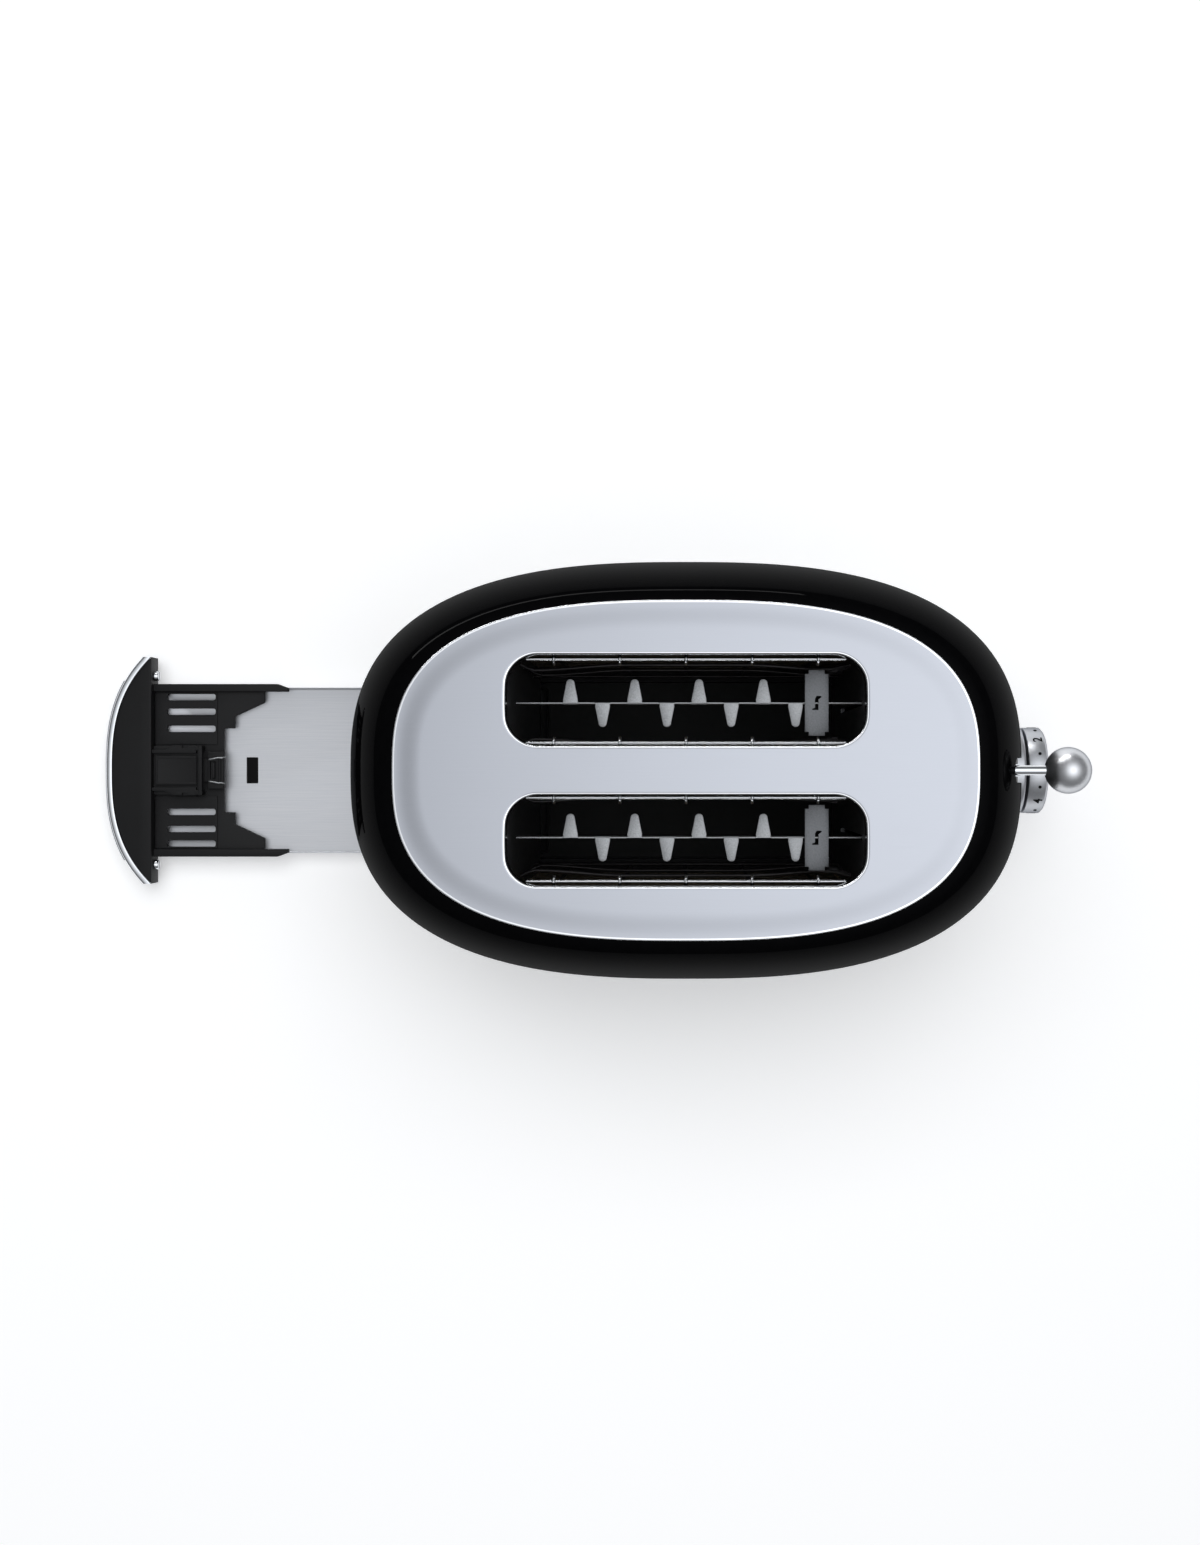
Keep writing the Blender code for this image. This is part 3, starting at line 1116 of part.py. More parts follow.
def build_controls(mats):
    bm = bmesh.new()
    board_face = BOARD_X + BOARD_THICKNESS
    add_box(bm, (BOARD_X, -BOARD_HALF_WIDTH, BOARD_BOTTOM), (board_face, BOARD_HALF_WIDTH, BOARD_TOP))
    board = make_object("control_board", bm, mats["board"])
    switches = bmesh.new()
    half = SWITCH_SIZE / 2
    for y, z in button_places():
        low = (board_face - WELD, y - half, z - half)
        add_box(switches, low, (board_face + SWITCH_DEPTH, y + half, z + half))
    join(board, "board_switches", switches)

    bm = bmesh.new()
    add_cylinder(bm, (board_face + FIT, 0, DIAL_Z), POT_DEPTH, POT_RADIUS, 20, "X")
    make_object("potentiometer", bm, mats["sheet"], smooth=True)

    stem_start = board_face + SWITCH_DEPTH + FIT + BUTTON_TRAVEL
    names = ("button_defrost", "button_bagel", "button_cancel", "button_reheat")
    for name, (y, z) in zip(names, button_places()):
        joint = make_joint(f"{name}_axis", Vector((BUTTON_FACE_X, y, z)))
        profile = [
            (stem_start, 0),
            (stem_start, BUTTON_STEM_RADIUS),
            (BUTTON_FACE_X - BUTTON_HEAD_DEPTH, BUTTON_STEM_RADIUS),
            (BUTTON_FACE_X - BUTTON_HEAD_DEPTH, BUTTON_RADIUS),
            (BUTTON_FACE_X - BUTTON_CHAMFER, BUTTON_RADIUS),
            (BUTTON_FACE_X, BUTTON_RADIUS - BUTTON_CHAMFER),
            (BUTTON_FACE_X, 0),
        ]
        bm = bmesh.new()
        add_turned(bm, profile, (0, y, z), 20, "X")
        make_object(name, bm, mats["chrome"], joint, smooth=True)


def build_mains_parts(mats):
    inner_z = FLOOR_THICKNESS + FIT
    profile = [
        (-FIT - GLAND_FLANGE_HEIGHT, GLAND_BORE_RADIUS),
        (-FIT - GLAND_FLANGE_HEIGHT, GLAND_FLANGE_RADIUS),
        (-FIT, GLAND_FLANGE_RADIUS),
        (-FIT, GLAND_NECK_RADIUS),
        (inner_z, GLAND_NECK_RADIUS),
        (inner_z, GLAND_FLANGE_RADIUS),
        (inner_z + GLAND_FLANGE_HEIGHT, GLAND_FLANGE_RADIUS),
        (inner_z + GLAND_FLANGE_HEIGHT, GLAND_BORE_RADIUS),
    ]
    bm = bmesh.new()
    add_turned(bm, profile, (GLAND_X, GLAND_Y, 0), 20, "Z", closed=True)
    make_object("cord_gland", bm, mats["rubber"], smooth=True)

    high_y = TERMINAL_Y + TERMINAL_WIDTH
    bm = bmesh.new()
    low = (TERMINAL_X, TERMINAL_Y, STEP_ON_FLOOR)
    top = STEP_ON_FLOOR + TERMINAL_HEIGHT
    add_box(bm, low, (TERMINAL_X + TERMINAL_LENGTH, high_y, top))
    block = make_object("terminal_block", bm, mats["ceramic"])
    slots = bmesh.new()
    for share in (1 / 3, 2 / 3):
        x = TERMINAL_X + share * TERMINAL_LENGTH
        low = (x - TERMINAL_SLOT / 2, TERMINAL_Y - CUT_OVERRUN, top - 2 * TERMINAL_SLOT)
        add_box(slots, low, (x + TERMINAL_SLOT / 2, high_y + CUT_OVERRUN, top + CUT_OVERRUN))
    cut(block, "terminal_slots", slots)


def build_tray_front(mats, joint):
    bm = bmesh.new()
    outer = front_arc(0, TRAY_FRONT_HALF_WIDTH, BAND_BOTTOM)
    inner = front_arc(TRAY_BAND_WALL, TRAY_FRONT_HALF_WIDTH, BAND_BOTTOM)
    add_extrusion(bm, outer + inner[::-1], Vector((0, 0, TRAY_BAND_HEIGHT - BAND_BOTTOM)))
    make_object("tray_front_band", bm, mats["chrome"], joint, smooth=True)

    bm = bmesh.new()
    inner = front_arc(-FIT, STRIP_HALF_WIDTH, STRIP_BOTTOM)
    outer = front_arc(-FIT - STRIP_THICKNESS, STRIP_HALF_WIDTH, STRIP_BOTTOM)
    add_extrusion(bm, outer + inner[::-1], Vector((0, 0, STRIP_TOP - STRIP_BOTTOM)))
    make_object("tray_grip_strip", bm, mats["satin"], joint, smooth=True)

    bm = bmesh.new()
    outline = front_arc(TRAY_BAND_WALL + FIT, TRAY_FRONT_HALF_WIDTH, TRAY_FLOOR)
    outline.append(Vector((HANDLE_FACE_X, TRAY_FRONT_HALF_WIDTH, TRAY_FLOOR)))
    outline.append(Vector((HANDLE_FACE_X, -TRAY_FRONT_HALF_WIDTH, TRAY_FLOOR)))
    add_extrusion(bm, outline, Vector((0, 0, HANDLE_HEIGHT)))
    handle = make_object("tray_handle", bm, mats["plastic"], joint)
    bores = bmesh.new()
    screw_z = TRAY_FLOOR + HANDLE_HEIGHT / 2
    behind_band = front_arc(TRAY_BAND_WALL + FIT, TRAY_SCREW_Y, screw_z)[0]
    screw_tip = behind_band.x + TRAY_SCREW_TIP_GAP
    for side in (-1, 1):
        start = (screw_tip - FIT, side * TRAY_SCREW_Y, screw_z)
        length = HANDLE_FACE_X - screw_tip + CUT_OVERRUN
        add_cylinder(bores, start, length, SCREW_SHANK_RADIUS + FIT, 12, "X")
    cut(handle, "handle_screw_bores", bores, joint)

    for name, side in (("tray_screw_left", -1), ("tray_screw_right", 1)):
        bm = bmesh.new()
        profile = [
            (screw_tip, 0),
            (screw_tip, SCREW_SHANK_RADIUS),
            (BEHIND_HANDLE_X, SCREW_SHANK_RADIUS),
            (BEHIND_HANDLE_X, TRAY_SCREW_RADIUS),
            (BEHIND_HANDLE_X + SCREW_HEAD_HEIGHT, TRAY_SCREW_RADIUS),
            (BEHIND_HANDLE_X + SCREW_HEAD_HEIGHT, 0),
        ]
        add_turned(bm, profile, (0, side * TRAY_SCREW_Y, screw_z), 14, "X")
        make_object(name, bm, mats["chrome"], joint, smooth=True)


def carrier_outline():
    """Half of the carrier's edge, as (length from the handle, inset from the side), and its mirror image."""
    half = [
        (0, 0),
        (CARRIER_RAIL_LENGTH - CARRIER_RAIL_CHAMFER, 0),
        (CARRIER_RAIL_LENGTH, CARRIER_RAIL_WIDTH / 2),
        (CARRIER_RAIL_LENGTH, CARRIER_RAIL_WIDTH),
        (CARRIER_WING_LENGTH, CARRIER_RAIL_WIDTH),
        (CARRIER_WING_LENGTH, CARRIER_WING_INSET),
        (CARRIER_SHOULDER_LENGTH, CARRIER_SHOULDER_INSET),
        (CARRIER_SHOULDER_LENGTH, CARRIER_EDGE_INSET),
        (CARRIER_EDGE_LENGTH, CARRIER_EDGE_INSET),
    ]
    places = [(BEHIND_HANDLE_X + along, CARRIER_HALF_WIDTH - inset) for along, inset in half]
    right = [Vector((x, y, CARRIER_BOTTOM)) for x, y in places]
    left = [Vector((x, -y, CARRIER_BOTTOM)) for x, y in reversed(places)]
    return right + left


def build_tray_carrier(mats, joint):
    bm = bmesh.new()
    add_extrusion(bm, carrier_outline(), Vector((0, 0, CARRIER_THICKNESS)))
    carrier = make_object("tray_carrier", bm, mats["plastic"], joint)
    rails = bmesh.new()
    for side in (-1, 1):
        outer_y = CARRIER_HALF_WIDTH - WELD
        inner_y = CARRIER_HALF_WIDTH - CARRIER_RAIL_WIDTH + WELD
        z = CARRIER_BOTTOM + CARRIER_THICKNESS / 2
        end_x = BEHIND_HANDLE_X + CARRIER_RAIL_LENGTH - WELD
        outline = [
            Vector((BEHIND_HANDLE_X + WELD, side * outer_y, z)),
            Vector((end_x + WELD - CARRIER_RAIL_CHAMFER, side * outer_y, z)),
            Vector((end_x, side * (outer_y + inner_y) / 2, z)),
            Vector((end_x, side * inner_y, z)),
            Vector((BEHIND_HANDLE_X + WELD, side * inner_y, z)),
        ]
        add_extrusion(rails, outline, Vector((0, 0, CARRIER_RAIL_HEIGHT - CARRIER_THICKNESS / 2)))
    join(carrier, "carrier_rails", rails, joint)
    slots = bmesh.new()
    centre_x = BEHIND_HANDLE_X + GRILLE_START + GRILLE_LENGTH / 2
    corner = GRILLE_SLOT_WIDTH / 2 - WELD
    for side in (-1, 1):
        for inset in GRILLE_ROW_INSETS:
            z = CARRIER_BOTTOM - CUT_OVERRUN
            row_y = side * (CARRIER_HALF_WIDTH - inset)
            outline = rounded_slot(centre_x, row_y, GRILLE_LENGTH, GRILLE_SLOT_WIDTH, corner, z)
            add_extrusion(slots, outline, Vector((0, 0, CARRIER_THICKNESS + 2 * CUT_OVERRUN)))
    cut(carrier, "carrier_grille", slots, joint)


def build_crumb_pan(mats, joint):
    sheet = CRUMB_PAN_SHEET
    half = CRUMB_PAN_HALF_WIDTH
    top = TRAY_FLOOR + CRUMB_PAN_DEPTH
    bm = bmesh.new()
    add_box(bm, (BEHIND_HANDLE_X, -half, TRAY_FLOOR), (CRUMB_PAN_BACK_X, half, top))
    pan = make_object("tray_pan", bm, mats["satin"], joint)
    hollow = bmesh.new()
    low = (BEHIND_HANDLE_X + sheet, sheet - half, TRAY_FLOOR + sheet)
    add_box(hollow, low, (CRUMB_PAN_BACK_X - sheet, half - sheet, top + CUT_OVERRUN))
    cut(pan, "crumb_hollow", hollow, joint)
    hole = bmesh.new()
    hole_x = BEHIND_HANDLE_X + CRUMB_HOLE_START
    low = (hole_x, -CRUMB_HOLE_HALF_WIDTH, TRAY_FLOOR - CUT_OVERRUN)
    high = (hole_x + CRUMB_HOLE_LENGTH, CRUMB_HOLE_HALF_WIDTH, TRAY_FLOOR + sheet + CUT_OVERRUN)
    add_box(hole, low, high)
    cut(pan, "crumb_pan_hole", hole, joint)


def build_latch(mats, tray_joint, latch_joint):
    cover_end = BEHIND_HANDLE_X + LATCH_COVER_LENGTH
    bm = bmesh.new()
    high = (cover_end, LATCH_HALF_WIDTH, LATCH_FLOOR + LATCH_COVER_HEIGHT)
    add_box(bm, (BEHIND_HANDLE_X, -LATCH_HALF_WIDTH, LATCH_FLOOR), high)
    cover = make_object("latch_cover", bm, mats["plastic"], tray_joint)
    tunnel = bmesh.new()
    tunnel_y = LATCH_TONGUE_HALF_WIDTH + FIT
    low = (BEHIND_HANDLE_X + LATCH_WALL / 2, -tunnel_y, LATCH_FLOOR - CUT_OVERRUN)
    add_box(tunnel, low, (cover_end + CUT_OVERRUN, tunnel_y, LATCH_FLOOR + LATCH_TONGUE_HEIGHT + FIT))
    cut(cover, "latch_tunnel", tunnel, tray_joint)

    block_x = cover_end + FIT + LATCH_TRAVEL
    block_end = block_x + LATCH_BLOCK_LENGTH
    bm = bmesh.new()
    low = (block_x, -LATCH_BLOCK_HALF_WIDTH, LATCH_FLOOR)
    add_box(bm, low, (block_end, LATCH_BLOCK_HALF_WIDTH, LATCH_FLOOR + LATCH_BLOCK_HEIGHT))
    slider = make_object("latch_slider", bm, mats["plastic"], latch_joint)
    tongue = bmesh.new()
    high = (block_x + WELD, LATCH_TONGUE_HALF_WIDTH, LATCH_FLOOR + LATCH_TONGUE_HEIGHT)
    add_box(tongue, (block_x - LATCH_TONGUE_LENGTH, -LATCH_TONGUE_HALF_WIDTH, LATCH_FLOOR + FIT / 2), high)
    join(slider, "latch_tongue", tongue, latch_joint)
    bar = bmesh.new()
    bar_y = LATCH_BLOCK_HALF_WIDTH - WELD
    low = (block_x + WELD, -bar_y, LATCH_FLOOR + LATCH_BLOCK_HEIGHT - WELD)
    add_box(bar, low, (block_x + LATCH_BAR_LENGTH, bar_y, LATCH_FLOOR + LATCH_BAR_HEIGHT))
    join(slider, "latch_bar", bar, latch_joint)

    wire_z = LATCH_FLOOR + LATCH_BLOCK_HEIGHT + FIT + LATCH_WIRE_RADIUS
    wire_x = block_x + LATCH_BAR_LENGTH + FIT + LATCH_WIRE_RADIUS
    points = [
        Vector((wire_x + LATCH_WIRE_LENGTH, -LATCH_WIRE_Y, wire_z)),
        Vector((wire_x + LATCH_WIRE_RADIUS, -LATCH_WIRE_Y, wire_z)),
        Vector((wire_x, -LATCH_WIRE_Y + LATCH_WIRE_RADIUS, wire_z)),
        Vector((wire_x, LATCH_WIRE_Y - LATCH_WIRE_RADIUS, wire_z)),
        Vector((wire_x + LATCH_WIRE_RADIUS, LATCH_WIRE_Y, wire_z)),
        Vector((wire_x + LATCH_WIRE_LENGTH, LATCH_WIRE_Y, wire_z)),
    ]
    bm = bmesh.new()
    add_wire(bm, points, LATCH_WIRE_RADIUS, WIRE_SIDES)
    make_object("latch_spring", bm, mats["sheet"], latch_joint, smooth=True)


def build():
    clear_scene()
    mats = make_materials()
    build_shell(mats)
    build_top_plate(mats)
    build_base_band(mats)
    build_base_pan(mats)
    build_feet_and_base_screws(mats)
    build_bulkheads(mats)
    build_heaters(mats)
    build_guide_grids(mats)
    carriage = make_joint("carriage_axis", Vector((ROD_X, 0, LEVER_Z)))
    build_carriage(mats, carriage)
    build_racks(mats, carriage)
    build_rack_stops(mats, carriage)
    build_lever(mats, carriage)
    build_lift(mats)
    build_magnet_and_contacts(mats)
    build_slot_guide(mats)
    build_dial(mats, make_joint("knob_axis", Vector((KNOB_BACK_X, 0, DIAL_Z))))
    build_controls(mats)
    build_mains_parts(mats)
    drawn_out = Vector((-TRAY_DRAWN_OUT, 0, 0))
    tray = make_joint("tray_axis", Vector((HANDLE_FACE_X, 0, TRAY_FLOOR)), drawn_out)
    latch_home = Vector((BEHIND_HANDLE_X + LATCH_COVER_LENGTH, 0, LATCH_FLOOR))
    latch = make_joint("latch_axis", latch_home, drawn_out)
    build_tray_front(mats, tray)
    build_tray_carrier(mats, tray)
    build_crumb_pan(mats, tray)
    build_latch(mats, tray, latch)


build()
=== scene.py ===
"""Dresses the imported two-slice toaster and stands it in a plain studio, seen from straight above."""

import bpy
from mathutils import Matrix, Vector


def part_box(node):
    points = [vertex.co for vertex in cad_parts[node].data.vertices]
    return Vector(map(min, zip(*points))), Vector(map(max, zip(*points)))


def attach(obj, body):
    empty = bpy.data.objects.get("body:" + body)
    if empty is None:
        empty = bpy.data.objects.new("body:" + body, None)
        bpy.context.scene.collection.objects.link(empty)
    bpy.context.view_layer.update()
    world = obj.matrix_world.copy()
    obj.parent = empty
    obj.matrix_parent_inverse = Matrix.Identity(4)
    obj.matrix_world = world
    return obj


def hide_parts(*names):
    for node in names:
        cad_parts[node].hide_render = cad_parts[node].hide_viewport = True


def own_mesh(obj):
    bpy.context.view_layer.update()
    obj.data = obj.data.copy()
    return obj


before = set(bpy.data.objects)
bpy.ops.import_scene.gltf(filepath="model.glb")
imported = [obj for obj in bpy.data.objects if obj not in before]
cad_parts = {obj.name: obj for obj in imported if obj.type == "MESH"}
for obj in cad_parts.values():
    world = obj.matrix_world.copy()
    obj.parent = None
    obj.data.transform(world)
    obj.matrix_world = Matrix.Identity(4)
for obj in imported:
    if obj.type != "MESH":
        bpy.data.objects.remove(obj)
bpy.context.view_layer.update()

import logging
import math
from dataclasses import dataclass
from enum import Enum
from typing import Iterable, Sequence

import bmesh
import bpy
from mathutils import Vector

LOG = logging.getLogger("toaster")
MM = 0.001
RING_SEGMENTS = 192
ROUND_SEGMENTS = 48
WIRE_SIDES = 12
# How far along X the crumb tray stands drawn out at rest, in millimetres.
TRAY_SHIFT = -147.5
# A quarter turn in steps of 15 degrees, for small round edges.
QUARTER_TURN = [math.radians(15 * step) for step in range(7)]
# Hairlines are drawn out to this share of their frequency along their length.
HAIRLINE = 0.02
# At this scale the wave texture draws about one thread for each unit.
WAVE_SCALE = 0.35
# Most of a noise's values lie between these two.
NOISE_LOW, NOISE_HIGH = 0.3, 0.7
BUMP_STRENGTH = 0.5

Outline = list[Vector]
Profile = Sequence[tuple[float, float]]


def linear(colour: str) -> tuple[float, float, float, float]:
    """Turns an sRGB hex colour such as "#AABBCC" into linear RGBA.

    Args:
        colour: The colour as it looks on screen.

    Returns:
        Linear red, green, blue and an alpha of one.
    """
    channels = [int(colour[start:start + 2], 16) / 255 for start in (1, 3, 5)]
    red, green, blue = [c / 12.92 if c <= 0.04045 else ((c + 0.055) / 1.055) ** 2.4 for c in channels]
    return red, green, blue, 1.0


def add_node(tree: bpy.types.NodeTree, kind: str, inputs: dict | None = None, **settings) -> bpy.types.Node:
    """Adds one shader node.

    Args:
        tree: The node tree it goes into.
        kind: Blender's name for the node type.
        inputs: Input name or number, with the socket to link or the value to set.
        settings: Attributes of the node itself.

    Returns:
        The new node.
    """
    node = tree.nodes.new(kind)
    for key, value in settings.items():
        setattr(node, key, value)
    for key, value in (inputs or {}).items():
        if isinstance(value, bpy.types.NodeSocket):
            tree.links.new(value, node.inputs[key])
        else:
            node.inputs[key].default_value = value
    return node


class Pattern(Enum):
    """How a surface's fine texture is laid out."""

    GRAIN = "even grain with no direction"
    BRUSHED = "hairlines along X"
    TURNED = "hairlines round the X axis"
    SPANGLE = "crystals of a dipped zinc coat"
    FLAKE = "overlapping flakes"
    WEAVE = "woven cloth under resin"


@dataclass(frozen=True)
class Finish:
    """A material with the way its surface was made; a few are darker and lighter copies that carry painted shade and
    painted highlight.

    Two noises drive it: the fine pattern, and a slow cloud of handling marks, heat or dust.
    """

    name: str
    slot: str
    dark: str
    light: str
    smooth: float
    rough: float
    metallic: float = 0.0
    specular: float = 0.5
    ior: float = 1.5
    pattern: Pattern = Pattern.GRAIN
    pattern_mm: float = 0.6
    cloud_mm: float = 40.0
    cloud_share: float = 0.4
    relief_mm: float = 0.02
    coat: float = 0.0
    glancing: str = "#FFFFFF"

    def frequency(self) -> Vector:
        """The pattern's scale along each axis.

        Returns:
            Cycles a metre along X, Y and Z.
        """
        fine = 1 / (self.pattern_mm * MM)
        stretches = {Pattern.BRUSHED: (HAIRLINE, 1, 1), Pattern.TURNED: (1, HAIRLINE, HAIRLINE)}
        return Vector(stretches.get(self.pattern, (1, 1, 1))) * fine

    def texture(self, tree: bpy.types.NodeTree, place: bpy.types.NodeSocket) -> bpy.types.NodeSocket:
        """Adds the fine pattern and gives its grey value.

        Args:
            tree: The material's nodes.
            place: The coordinates that the pattern hangs on.

        Returns:
            The socket with the pattern's value.
        """
        scaled = add_node(tree, "ShaderNodeMapping", {"Vector": place, "Scale": self.frequency()}).outputs[0]
        if self.pattern in (Pattern.SPANGLE, Pattern.FLAKE):
            cells = add_node(tree, "ShaderNodeTexVoronoi", {"Vector": scaled, "Scale": 1.0})
            grey = add_node(tree, "ShaderNodeRGBToBW", {0: cells.outputs["Color"]})
            return grey.outputs[0]
        if self.pattern is Pattern.WEAVE:
            threads = {"Vector": scaled, "Scale": WAVE_SCALE}
            weft, warp = [add_node(tree, "ShaderNodeTexWave", threads, bands_direction=way).outputs["Fac"]
                          for way in ("Y", "Z")]
            return add_node(tree, "ShaderNodeMath", {0: weft, 1: warp}, operation="MULTIPLY").outputs[0]
        noise = add_node(tree, "ShaderNodeTexNoise", {"Vector": scaled, "Scale": 1.0, "Detail": 3.0})
        return noise.outputs[0]

    def build(self) -> bpy.types.Material:
        """Makes the material, or finds it if it was made before.

        Returns:
            The material.
        """
        made = bpy.data.materials.get(self.name)
        if made:
            return made
        made = bpy.data.materials.new(self.name)
        made.use_nodes = True
        made.diffuse_color = linear(self.light)
        tree = made.node_tree
        shader = tree.nodes["Principled BSDF"]
        shader.inputs["Metallic"].default_value = self.metallic
        if not self.metallic:
            shader.inputs["IOR"].default_value = self.ior
            shader.inputs["Specular IOR Level"].default_value = self.specular
        else:
            shader.inputs["Specular Tint"].default_value = linear(self.glancing)
        if self.coat:
            shader.inputs["Coat Weight"].default_value = self.coat
        place = add_node(tree, "ShaderNodeTexCoord").outputs["Object"]
        fine = self.texture(tree, place)
        cloud_inputs = {"Vector": place, "Scale": 1 / (self.cloud_mm * MM), "Detail": 4.0}
        cloud = add_node(tree, "ShaderNodeTexNoise", cloud_inputs).outputs[0]
        mixed = add_node(tree, "ShaderNodeMix", {0: self.cloud_share, 2: fine, 3: cloud}).outputs[0]
        spread = add_node(tree, "ShaderNodeMapRange", {0: mixed, 1: NOISE_LOW, 2: NOISE_HIGH}).outputs[0]
        colours = {0: spread, 6: linear(self.dark), 7: linear(self.light)}
        colour = add_node(tree, "ShaderNodeMix", colours, data_type="RGBA")
        tree.links.new(colour.outputs[2], shader.inputs["Base Color"])
        limits = {0: spread, 3: self.smooth, 4: self.rough}
        tree.links.new(add_node(tree, "ShaderNodeMapRange", limits).outputs[0], shader.inputs["Roughness"])
        relief = {"Height": fine, "Distance": self.relief_mm * MM, "Strength": BUMP_STRENGTH}
        tree.links.new(add_node(tree, "ShaderNodeBump", relief).outputs[0], shader.inputs["Normal"])
        return made


# Pressed steel in black stove enamel: deep black under a thin clear glaze that mirrors crisply but faintly.
ENAMEL = Finish("stove enamel, gloss black", "black_enamel", "#040405", "#070708", 0.08, 0.13,
                specular=0.0, pattern_mm=3.0, cloud_mm=60, relief_mm=0.008, coat=0.06)
# Stainless sheet with a satin polish and lacquer: soft silver with no mirror image in it.
SATIN = Finish("stainless steel, satin polished", "satin_steel", "#B3B6BD", "#B7BAC1", 0.31, 0.35,
               metallic=1.0, pattern=Pattern.BRUSHED, pattern_mm=0.5, cloud_mm=90, relief_mm=0.002)
# The same sheet, rolled and buffed at its edge: nearly a mirror that catches every lamp, and lighter as a painted
# highlight.
BUFFED_AND_HIGHLIT = Finish("stainless steel, buffed and highlit edge", "satin_steel", "#E4E6E9", "#F0F1F3", 0.10, 0.18,
                metallic=1.0, pattern_mm=2.0, cloud_mm=40, relief_mm=0.002)
# Brass or steel under bright chrome: a cold mirror that is a little softer where it was handled.
CHROME = Finish("bright chrome plate, polished", "chrome_plate", "#D9DCE0", "#E5E7EA", 0.04, 0.09,
                metallic=1.0, pattern_mm=8.0, cloud_mm=30, relief_mm=0.004)
# Zinc alloy under satin chrome: a pearly grey metal that spreads each highlight wide.
PEARL = Finish("satin chrome on zinc alloy", "chrome_plate", "#C9CBCF", "#D3D5D9", 0.34, 0.40,
               metallic=1.0, pattern_mm=0.8, cloud_mm=25, relief_mm=0.002, glancing="#8A8C90")
# Brass under soft chrome, tumbled and handled: bright, with a blurred mirror image.
TUMBLED = Finish("soft chrome on brass, tumbled", "chrome_plate", "#E3E5E8", "#ECEDF0", 0.33, 0.38,
                 metallic=1.0, pattern_mm=0.8, cloud_mm=25, relief_mm=0.002, glancing="#6E7074")
# Steel sheet brushed along its length: fine hairlines that stretch the highlights across them.
BRUSHED = Finish("stainless steel, brushed", "satin_steel", "#D1D3D7", "#DCDDE0", 0.40, 0.48,
                 metallic=1.0, pattern=Pattern.BRUSHED, pattern_mm=0.4, cloud_mm=70, cloud_share=0.15,
                 relief_mm=0.004)
# Hot-dipped steel strip: mottled grey zinc crystals with a dull, powdery sheen.
ZINC = Finish("galvanised steel sheet", "galvanised_sheet", "#A3A5A7", "#C3C5C7", 0.42, 0.60,
              metallic=0.85, pattern=Pattern.SPANGLE, pattern_mm=0.35, cloud_mm=20, relief_mm=0.015)
# The same strip where it stands highest in the heat: its bloom has gone dull and darker.
BLOOMED = Finish("galvanised steel sheet, heat dulled", "galvanised_sheet", "#77797C", "#909295", 0.45, 0.62,
                 metallic=0.85, pattern=Pattern.SPANGLE, pattern_mm=0.35, cloud_mm=12, relief_mm=0.015)
# Drawn spring wire under thin nickel: slightly dull, with lengthways draw marks.
WIRE = Finish("nickel plated wire, drawn", "chrome_plate", "#C2C4C7", "#DCDEE0", 0.18, 0.30,
              metallic=1.0, pattern=Pattern.BRUSHED, pattern_mm=0.6, cloud_mm=15, relief_mm=0.01)
# The same wire low down between the elements, darkened until it hardly shines: painted shade deep in the slots.
SLOT_SHADE_WIRE = Finish("nickel plated wire, painted slot shade", "chrome_plate", "#2E2D2E", "#4A494A", 0.35, 0.5,
                metallic=0.9, pattern=Pattern.BRUSHED, pattern_mm=0.6, cloud_mm=15, relief_mm=0.01)
# Aluminised sheet made dark brown-black with paler patches: painted shade for sheet that stands inside the body.
SHADE_DARK_SHEET = Finish("aluminised sheet, painted inner shade", "blackened_sheet", "#141415", "#2A2A2B", 0.45, 0.62,
                metallic=0.6, pattern_mm=1.5, cloud_mm=25, cloud_share=0.6, relief_mm=0.02)
# Aluminised sheet that stays out of the heat: a dull, streaky grey.
ALUMINISED = Finish("aluminised steel sheet", "blackened_sheet", "#6C6E71", "#8B8D90", 0.34, 0.46,
                    metallic=0.9, pattern=Pattern.BRUSHED, pattern_mm=1.0, cloud_mm=30, relief_mm=0.01)
# Glass-filled nylon from a spark-eroded mould: matt charcoal with a fine, even grain.
NYLON = Finish("black nylon, moulded", "black_plastic", "#131314", "#1D1D1E", 0.46, 0.60,
               specular=0.22, pattern_mm=0.5, cloud_mm=30, cloud_share=0.3, relief_mm=0.03)
# Pressed mica board: brown-silver flakes in a binder.
MICA = Finish("mica board, pressed", "mica_card", "#5A4E3B", "#8B7C62", 0.35, 0.6,
              pattern=Pattern.FLAKE, pattern_mm=2.5, cloud_mm=18, relief_mm=0.01)
# Glass cloth and epoxy under green solder mask: glossy, with the weave just showing.
LAMINATE = Finish("circuit laminate, solder masked", "board_laminate", "#12401F", "#1B5A2C", 0.25, 0.4,
                  pattern=Pattern.WEAVE, pattern_mm=0.7, relief_mm=0.01)
# Moulded ivory phenolic resin: a warm, waxy off-white.
RESIN = Finish("ivory phenolic resin, moulded", "ivory_resin", "#B9AE98", "#D0C6B0", 0.4, 0.55,
               pattern_mm=0.8, relief_mm=0.01)
# Enamelled copper wire and bare copper alloy: red-brown metal with darker lacquer runs.
COPPER = Finish("copper alloy, lacquered", "copper_winding", "#8A4A2A", "#B5683C", 0.25, 0.4,
                metallic=1.0, pattern=Pattern.TURNED, pattern_mm=0.5, relief_mm=0.03)
# Moulded rubber: dusty dead black.
RUBBER = Finish("rubber, moulded", "foot_rubber", "#141414", "#232322", 0.7, 0.85,
                specular=0.3, pattern_mm=0.7, relief_mm=0.03)
# Baked printing ink on the dial: flat black that stands a hair above the plate.
INK = Finish("stoving ink, printed", "black_plastic", "#0A0A0B", "#101011", 0.55, 0.7,
             specular=0.1, pattern_mm=0.4, relief_mm=0.004)
